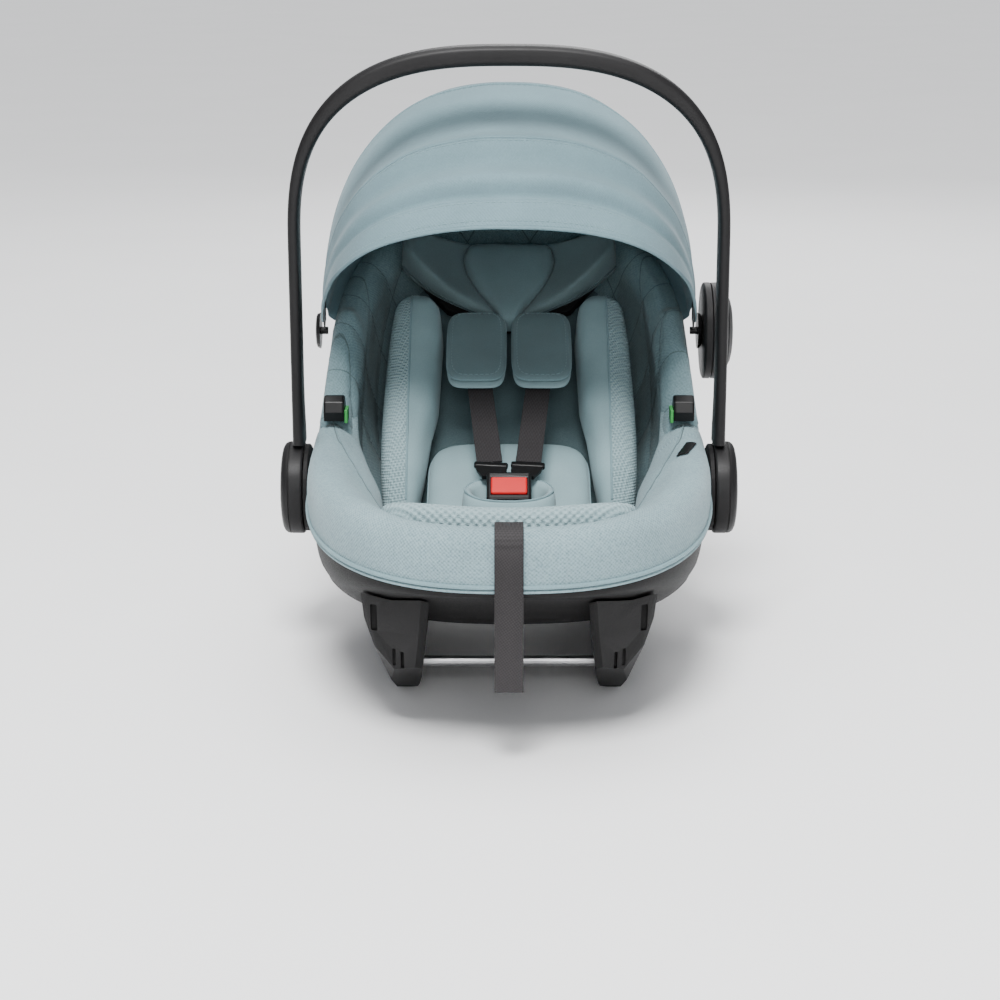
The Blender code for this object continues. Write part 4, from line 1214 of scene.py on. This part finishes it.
def add_front_lip():
    """The knitted lip across the front of the seat: a low crescent in chunky rows."""
    middle = box_middle("front_lip") + Vector((0, -0.026, 0.001))
    half_length, half_depth, half_height = 0.1165, 0.0230, 0.0170
    count, around = 90, 24
    rings = []
    for k in range(count):
        t = mix(-1, 1, k / (count - 1))
        full = max(1 - abs(t) ** 5, 0.0) ** 0.5
        centre = middle + Vector((half_length * t, 0.020 * abs(t) ** 2.2, 0.006 * t * t))
        ring = []
        for turn in turns_round(around):
            a, b = signed_power(cos(turn), 0.8), signed_power(sin(turn), 0.8)
            ribs = 1 + 0.030 * sin(turn * 12)
            depth, height = half_depth * a * full * ribs, half_height * b * (0.25 + 0.75 * full) * ribs
            ring.append(centre + Vector((0, depth * 0.90 + height * 0.30, height - depth * 0.42)))
        rings.append(ring)
    points, faces = flat(rings), ring_faces(count, around, caps=True)
    cloth = cloth_places(rings)
    lip = add_mesh("front_lip_knit", points, faces, "knit_rows", "carrier", ("front_lip",), 80, cloth)


# Headrest

def headrest_surface(name, node_name, look, place, across_steps=30, up_steps=24):
    """A closed padded panel. place(across, up, share) is its surface, with share 0 at its back."""
    rings = []
    for j in range(across_steps + 1):
        ring = [place(j / across_steps, k / up_steps, 1.0) for k in range(up_steps + 1)]
        ring += [place(j / across_steps, k / up_steps, 0.0) for k in range(up_steps, -1, -1)]
        rings.append(ring)
    points, faces = flat(rings), ring_faces(len(rings), len(rings[0]), caps=True)
    panel = add_mesh(name, points, faces, look, "headrest", (node_name,), 80)
    return panel


def padded_border(across, up, sharp):
    """1 in the middle of a panel, falling to 0 at its edges."""
    return max(0.0, (1 - abs(2 * up - 1) ** sharp) * (1 - abs(2 * across - 1) ** sharp)) ** 0.42


def shield_place(across, up, share):
    along = mix(SHIELD[0][0], SHIELD[-1][0], up)
    half = curve_through(SHIELD, along)
    rise = 0.004 + 0.0150 * padded_border(across, up, 7)
    return back_point(mix(-half, half, across), along, HEADREST_FRONT + rise * share)


def wing_place(side, across, up, share):
    """Across runs from the centre pad outwards, and up from the wing's lower edge to its top."""
    low = mix(0.3040, 0.3760, across**1.25)
    along = mix(low, mix(0.4100, 0.4030, across**2), up)
    x = mix(curve_through(SHIELD, along) - 0.0020, 0.1150, across)
    rise = mix(0.0100, 0.0420, smooth(across)) * (0.30 + 0.70 * padded_border(across, up, 9))
    return back_point(side * x, along, HEADREST_FRONT + rise * share)


def add_headrest():
    """A shield-shaped centre pad between two wide wings that curl forward beside the head. The wings are coloured
    darker as painted shade from the canopy, and a dark tube of painted shadow runs along each wing's lower edge.
    """
    pad = headrest_surface("headrest_centre_soft", "headrest_centre_pad", "fabric_pad", shield_place)
    for name, side in SIDES.items():
        place = partial(wing_place, side)
        node_name = f"headrest_wing_{name}"
        # The wings wear the darker copy of the insert fabric, which paints the shade under the canopy.
        wing = headrest_surface(f"{node_name}_soft", node_name, "fabric_insert_dark", place)
        # The thin dark tube along each wing's lower edge is painted shadow under the wing, not piping.
        edge = [place(j / 40, 0.0, 0.55) for j in range(41)]
        add_tube(f"{node_name}_piping", edge, 0.0011, "seam_shadow", "headrest", 6)


# Shoulder pads, crotch cup, straps and tag

def pillow_data(size, squareness, around=72, levels=18):
    """A crowned pad: a rounded plan whose faces swell towards the middle."""
    half = [side / 2 for side in size]
    points = [Vector((0, 0, -half[2]))]
    for j in range(1, levels):
        v = -pi / 2 + pi * j / levels
        width = cos(v) ** (2 / (squareness * 1.4))
        z = half[2] * sin(v)
        for u in turns_round(around):
            x = half[0] * width * signed_power(cos(u), 2 / squareness)
            y = half[1] * width * signed_power(sin(u), 2 / squareness)
            points.append(Vector((x, y, z)))
    points.append(Vector((0, 0, half[2])))
    faces = [tuple(1 + k for k in face) for face in ring_faces(levels - 1, around)]
    top = len(points) - 1
    for k in range(around):
        following = (k + 1) % around
        faces.append((0, 1 + following, 1 + k))
        faces.append((top, top - around + k, top - around + following))
    return points, faces


def outline(size, squareness, z, inset):
    """A pad's outline, which ends where it starts."""
    line = []
    for k in range(97):
        u = 2 * pi * k / 96
        x = (size[0] / 2 - inset) * signed_power(cos(u), 2 / squareness)
        y = (size[1] / 2 - inset) * signed_power(sin(u), 2 / squareness)
        line.append(Vector((x, y, z)))
    return line


def piping_data(line, radius):
    return tube_data(evenly(line, 90, closed=True), radius, 6, closed=True)


def placed(data, matrix):
    points, faces = data
    return [matrix @ point for point in points], faces


def box_ends(node_name, side):
    """A node's inner and outer X, and half its height."""
    low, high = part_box(node_name)
    inner, outer = (low.x, high.x) if side > 0 else (high.x, low.x)
    return inner, outer, (high.z - low.z) / 2


def frame_matrix(origin, across, along, out):
    """A matrix that takes the X, Y and Z axes to three directions, and the origin to a point."""
    columns = Matrix((across, along, out)).transposed().to_4x4()
    columns.translation = origin
    return columns


def strap_axes():
    """Along the harness straps, and out of them towards the child's front."""
    along = back_point(0, 1, 0) - back_point(0, 0, 0)
    out = back_point(0, 0, 1) - back_point(0, 0, 0)
    run = (along - out * STRAP_LEAN).normalized()
    return run, X_AXIS.cross(run)


def add_shoulder_pads():
    """Each pad has a smooth upper layer, with piping and stitches, on a paler one."""
    run, out = strap_axes()
    size, under_size, squareness = (0.061, 0.124, 0.0095), (0.060, 0.128, 0.0060), 5.0
    for name in SIDES:
        pad_node = f"shoulder_pad_{name}"
        matrix = frame_matrix(box_middle(pad_node) + run * 0.014, X_AXIS, run, out)
        forward = matrix @ Matrix.Translation((0, 0.002, 0))
        upper = placed(pillow_data(size, squareness), forward @ Matrix.Translation((0, 0, 0.0018)))
        lower = placed(pillow_data(under_size, squareness), matrix @ Matrix.Translation((0, -0.002, -0.0035)))
        pad = add_mesh(f"{pad_node}_upper", *upper, "fabric_pad", "headrest", (pad_node,), 80)
        under = add_mesh(f"{pad_node}_under", *lower, "fabric_insert", "headrest", (), 80)
        piping = placed(piping_data(outline(size, squareness, 0.0018, 0.0004), 0.0011), forward)
        add_mesh(f"{pad_node}_piping", *piping, "piping", "headrest")
        row = placed(stitch_data(outline(size, squareness, 0.0056, 0.0052)), forward)
        add_mesh(f"{pad_node}_stitches", *row, "thread", "headrest")


def add_crotch_cup():
    """A padded cup round the buckle: its rim is high behind the buckle and low in front."""
    count, around = 96, 26
    rings = []
    for turn in turns_round(count):
        wide, deep = signed_power(cos(turn), 0.75), signed_power(sin(turn), 0.75)
        top = mix(0.0480, 0.0865, (1 + sin(turn)) / 2)
        section = []
        for out, height in CUP_SECTION:
            x, along = 0.0450 * wide * out, 0.096 - 0.0315 * deep * out
            section.append(seat_point(x, along, max(0.001, top * height)))
        rings.append(spline(section, around))
    faces = ring_faces(count, around, closed_rings=True, closed_around=False)
    for k in range(count):
        here, there = around * k, around * ((k + 1) % count)
        faces.append((here, there, there + around - 1, here + around - 1))
    cup = add_mesh("crotch_cup", flat(rings), faces, "fabric_insert", "carrier", ("crotch_pad",), 80)
    add_tube("crotch_cup_piping", [ring[12] for ring in rings], 0.0011, "piping", "carrier", 6, closed=True)


def add_harness():
    """The two straps from the shoulder pads to their tongues, and the crotch strap."""
    for name, side in SIDES.items():
        low = back_point(side * 0.0175, 0.0510, 0.1050)
        high = back_point(side * 0.0360, 0.262, 0.1050 - STRAP_LEAN * 0.211)
        along = (high - low).normalized()
        webbing = webbing_data(evenly([low + along * 0.016, high], 40), across=X_AXIS - along * along.x)
        nodes = (f"harness_strap_{name}",)
        strap = add_mesh(f"harness_webbing_{name}", *webbing, "webbing", f"tongue_{name}", nodes, 60)
    line = evenly([back_point(0, 0.0096, 0.1066), seat_point(0, 0.090, 0.003)], 30)
    webbing = webbing_data(line, CROTCH_WEBBING)
    strap = add_mesh("crotch_webbing", *webbing, "webbing", "carrier", ("crotch_strap",), 60)


def rounded_block(size, bevel, segments=3):
    form = bmesh.new()
    bmesh.ops.create_cube(form, size=1.0)
    bmesh.ops.scale(form, vec=size, verts=form.verts)
    bmesh.ops.bevel(form, geom=form.edges[:], offset=bevel, segments=segments, profile=0.5, affect="EDGES")
    points = [vert.co.copy() for vert in form.verts]
    form.verts.index_update()
    faces = [tuple(vert.index for vert in face.verts) for face in form.faces]
    form.free()
    return points, faces


def add_label():
    """A small blank tag, which lies flat on the armrest."""
    patch = roll_patch((radians(-3.6), radians(-10.2)), (0.315, 0.395), 0.110, 0.0015, 13, 7)
    label = add_mesh("label_blank", *patch, "gloss_plastic", "carrier", ("label_tag",))
    thicken(label, 0.0006)
    take_modifiers(label)


# Handle and hubs

def handle_section(outer, inner):
    """A section with a crowned outer face and a slimmer, rounded inner one."""
    across = outer - inner
    middle = (outer + inner) / 2
    ring = []
    for turn in turns_round(HANDLE_AROUND):
        a, b = signed_power(cos(turn), 0.62), signed_power(sin(turn), 0.42)
        ring.append(middle + across * (0.5 * a) + Vector((0, HANDLE_DEPTH / 2 * b, 0)))
    return ring


def arch_point(angle, half, top):
    """A point on the handle's arch, over its straight arms."""
    x = half * signed_power(cos(angle), 2 / HANDLE_POWER)
    z = HANDLE_SHOULDER + (top - HANDLE_SHOULDER) * signed_power(sin(angle), 2 / HANDLE_POWER)
    return HUB + Vector((x, 0, z))


def add_handle():
    """The handle: two straight arms, whose feet are a little thicker, and the arch between them."""
    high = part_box("handle_arch")[1]
    half_outer, top = high.x, high.z - HUB.z
    half_inner = half_outer - 0.011
    arms = []
    for k in range(14):
        z = mix(HANDLE_FOOT, HANDLE_SHOULDER, k / 14)
        foot_swell = bumps(z, ((HANDLE_FOOT, 0.0012, 0.03),))
        arms.append((HUB + Vector((half_outer, 0, z)), HUB + Vector((half_inner - foot_swell, 0, z))))
    arch = []
    for k in range(121):
        angle = pi * k / 120
        arch.append((arch_point(angle, half_outer, top), arch_point(angle, half_inner, top - 0.020)))
    mirrored = [(Vector((-a.x, a.y, a.z)), Vector((-b.x, b.y, b.z))) for a, b in reversed(arms)]
    rings = [handle_section(a, b) for a, b in arms + arch + mirrored]
    points, faces = flat(rings), ring_faces(len(rings), HANDLE_AROUND, caps=True)
    add_mesh("handle_bow", points, faces, "handle_plastic", "handle", ("handle_arch",), 50)
    for name, side in SIDES.items():
        add_hub(name, side)
        add_button(name, side)


def add_hub(name, side):
    """A hub drum that turns with the handle: a domed rim, a dished face and a turned groove."""
    inner, outer, radius = box_ends(f"handle_hub_{name}", side)
    floor = box_ends(f"release_button_{name}", side)[0] - side * BUTTON_ROOM
    profile = [(inner, HUB_BORE)]
    profile += [(inner + side * x, radius - fall) for x, fall in HUB_BACK]
    profile += [(outer - side * x, radius - fall) for x, fall in HUB_RIM]
    profile += [(outer - side * x, distance) for x, distance in HUB_FACE]
    profile += [(floor, 0.0183), (floor, HUB_BORE)]
    points, faces = revolve(profile, Vector((0, HUB.y, HUB.z)), ring=True)
    add_mesh(f"hub_drum_{name}", points, faces, "handle_plastic", "handle", (f"handle_hub_{name}",), 30)


def add_button(name, side):
    """The release button: a shallow dish with three grip ribs across it."""
    node_name = f"release_button_{name}"
    inner, outer, radius = box_ends(node_name, side)
    centre = Vector((0, HUB.y, HUB.z))
    profile = [(inner, radius - 0.0010), (inner + side * 0.0010, radius)]
    profile += [(outer - side * x, radius - fall) for x, fall in BUTTON_RIM]
    profile += [(outer - side * x, distance) for x, distance in BUTTON_FACE]
    parts = [revolve(profile, centre, 72)]
    for k in (-1, 0, 1):
        rib = Matrix.Translation(centre + Vector((outer - side * 0.0015, 0, 0.0048 * k)))
        parts.append(placed(rounded_block((0.0020, 0.0150 - 0.004 * abs(k), 0.0014), 0.0005), rib))
    add_mesh(f"hub_button_{name}", *joined(parts), "grip_rubber", node_name, (node_name,), 30)


# Shell

def add_shell():
    """The moulded bucket: its band, its swage lines and its inner wall."""
    turns = even_turns(240)
    halves = []
    for inset in (SHELL_OUTSIDE, SHELL_INSIDE):
        half = [[HUB + Vector((*rim_plan(turn, inset), rim_height(turn) - 0.0335)) for turn in turns]]
        half += [[shell_point(turn, k / 28, inset) for turn in turns] for k in range(28)]
        halves.append(half)
    rings = halves[0][::-1] + halves[1]
    points = flat(rings) + [bowl_point(0.0, 1.0, inset) for inset in (SHELL_OUTSIDE, SHELL_INSIDE)]
    count = len(turns)
    faces = ring_faces(len(rings), count)
    faces += fan_faces(0, count, len(points) - 2)
    faces += fan_faces((len(rings) - 1) * count, count, len(points) - 1)
    shell = add_mesh("bucket_moulding", points, faces, "shell_plastic", "carrier", ("shell_bucket",), 60)


def shell_point(turn, fall, inset):
    """A point on the bucket's wall, with the swage lines sunk into its outside."""
    point = bowl_point(turn, fall, inset)
    if inset != SHELL_OUTSIDE:
        return point
    towards = Vector((0, 0, HUB.z + 0.03)) - point
    return point + towards.normalized() * bumps(fall, SHELL_GROOVES)


def cut_plane(form, point, normal):
    """Cuts away what lies on the normal's side of a plane, and closes the cut."""
    every = form.verts[:] + form.edges[:] + form.faces[:]
    cut = bmesh.ops.bisect_plane(form, geom=every, plane_co=point, plane_no=normal, clear_outer=True)
    edges = [item for item in cut["geom_cut"] if isinstance(item, bmesh.types.BMEdge)]
    bmesh.ops.contextual_create(form, geom=edges)


def plane_normal(first, second, third, outwards):
    normal = (second - first).cross(third - first).normalized()
    return normal if normal.dot(outwards) > 0 else -normal


def round_edges(obj, width, angle):
    """Bevels the edges that are sharper than an angle."""
    bevel = obj.modifiers.new("rounded_edges", "BEVEL")
    bevel.width = width
    bevel.segments = 3
    bevel.limit_method = "ANGLE"
    bevel.angle_limit = radians(angle)


def cut_toe(mesh, side):
    """Cuts the runner's toe to a wedge, and its underside to a rising slope."""
    form = bmesh.new()
    form.from_mesh(mesh)
    bmesh.ops.remove_doubles(form, verts=form.verts, dist=WELD_DISTANCE)
    outwards = Vector((side, -0.3, -0.3))
    for corners in TOE_CUTS:
        places = [HUB + Vector((side * x, y, z)) for x, y, z in corners]
        cut_plane(form, places[0], plane_normal(*places, outwards))
    place, normal = TOE_UNDERSIDE
    cut_plane(form, HUB + place, normal.normalized())
    made = bpy.data.meshes.new("runner")
    form.to_mesh(made)
    form.free()
    return made


def add_runners():
    """The rocker runners. The toe of each is cut to a wedge, with a pocket and two slots let into it."""
    for name, side in SIDES.items():
        node_name = f"runner_{name}"
        mesh = cut_toe(frame["nodes"][node_name].data, side)
        mesh.set_sharp_from_angle(angle=radians(30))
        runner = new_object(f"{node_name}_moulding", mesh)
        carve_toe(runner, side)
        round_edges(runner, 0.0022, 28)
        take_modifiers(runner)
        set_look(runner, "shell_plastic")
        runner.data.shade_smooth()
        runner.data.set_sharp_from_angle(angle=radians(38))
        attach(runner, "carrier")
        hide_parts(node_name)


def carve_toe(runner, side):
    """A tall pocket beside the outer edge and two slots below it, sunk into the toe's front face."""
    parts = []
    for x, z, width, height in TOE_SLOTS:
        place = Matrix.Translation(HUB + Vector((side * x, -0.268, z)))
        parts.append(placed(rounded_block((width, 0.026, height), 0.0010, 2), place))
    cutter = add_mesh("toe_cutter", *joined(parts), "shell_plastic", None)
    carve = runner.modifiers.new("carve", "BOOLEAN")
    carve.operation = "DIFFERENCE"
    carve.solver = "EXACT"
    carve.object = cutter
    take_modifiers(runner)
    bpy.data.objects.remove(cutter)


def add_tongues():
    """Each buckle tongue: a loop bar at the strap's end and a plate that narrows into the buckle."""
    run = strap_axes()[0]
    for name, side in SIDES.items():
        node_name = f"tongue_{name}"
        lean = Vector((side * 0.0185, 0.211, 0)).normalized()
        along = (run + X_AXIS * (side * lean.x / lean.y * 0.92)).normalized()
        across = (X_AXIS - along * along.x).normalized()
        matrix = frame_matrix(box_middle(node_name), across, along, across.cross(along))
        at_strap = matrix @ Matrix.Translation((0, 0.0055, 0))
        bar = placed(rounded_block((0.0330, 0.0075, 0.0052), 0.0020, 4), at_strap)
        rings = []
        for z, grow in TONGUE_LAYERS:
            rings.append([matrix @ Vector((side * x * grow, y, z)) for x, y in TONGUE_OUTLINE])
        plate = (flat(rings), ring_faces(len(rings), len(TONGUE_OUTLINE), caps=True))
        form = joined([bar, plate])
        tongue = add_mesh(f"{node_name}_plate", *form, "gloss_plastic", node_name, (node_name,), 30)


def add_disc():
    """The side-impact disc: a base, a shadow gap and a shallow dome with a raised ring."""
    low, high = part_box("impact_disc_base")
    centre = Vector((0, (low.y + high.y) / 2, (low.z + high.z) / 2))
    radius = (high.z - low.z) / 2
    profile = (
        (low.x, radius - 0.0030), (low.x + 0.0010, radius - 0.0006), (low.x + 0.0020, radius),
        (high.x - 0.0006, radius), (high.x, radius - 0.0006),
    )
    disc = revolve(profile, centre)
    add_mesh("disc_base", *disc, "handle_plastic", "impact_disc", ("impact_disc_base",), 30)
    low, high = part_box("impact_disc_cover")
    profile = [(low.x + x, radius - fall) for x, fall in DOME_RIM]
    profile += [(low.x + x, distance) for x, distance in DOME_STEP]
    profile += [(high.x - x, distance) for x, distance in DOME_FACE]
    dome = revolve(profile, centre)
    add_mesh("disc_dome", *dome, "handle_plastic", "impact_disc", ("impact_disc_cover",), 30)


# Carried-over CAD nodes

def finish_cad_nodes():
    """Every CAD node still shown gets its slot's material, and those listed in BEVELS get slightly rounded edges.
    """
    slots = {entry["slot"] for entry in frame["record"]["materials"]}
    for name, obj in frame["nodes"].items():
        if obj.hide_render:
            continue
        look = next((s.material.name.split(".")[0] for s in obj.material_slots if s.material), "")
        set_look(obj, look if look in slots else "shell_plastic")
        width = BEVELS.get(name.removesuffix("_left").removesuffix("_right"))
        if width:
            weld = obj.modifiers.new("weld", "WELD")
            weld.merge_threshold = WELD_DISTANCE
            round_edges(obj, width, 32)


# The scene


def main():
    make_looks()
    add_camera()
    add_adjuster_strap()
    add_lights()
    add_floor()
    add_cover()
    add_lining()
    add_canopy()
    add_cushions()
    add_base_pad()
    add_front_lip()
    add_headrest()
    add_shoulder_pads()
    add_crotch_cup()
    add_harness()
    add_label()
    add_handle()
    add_shell()
    add_runners()
    add_tongues()
    add_disc()
    finish_cad_nodes()


main()
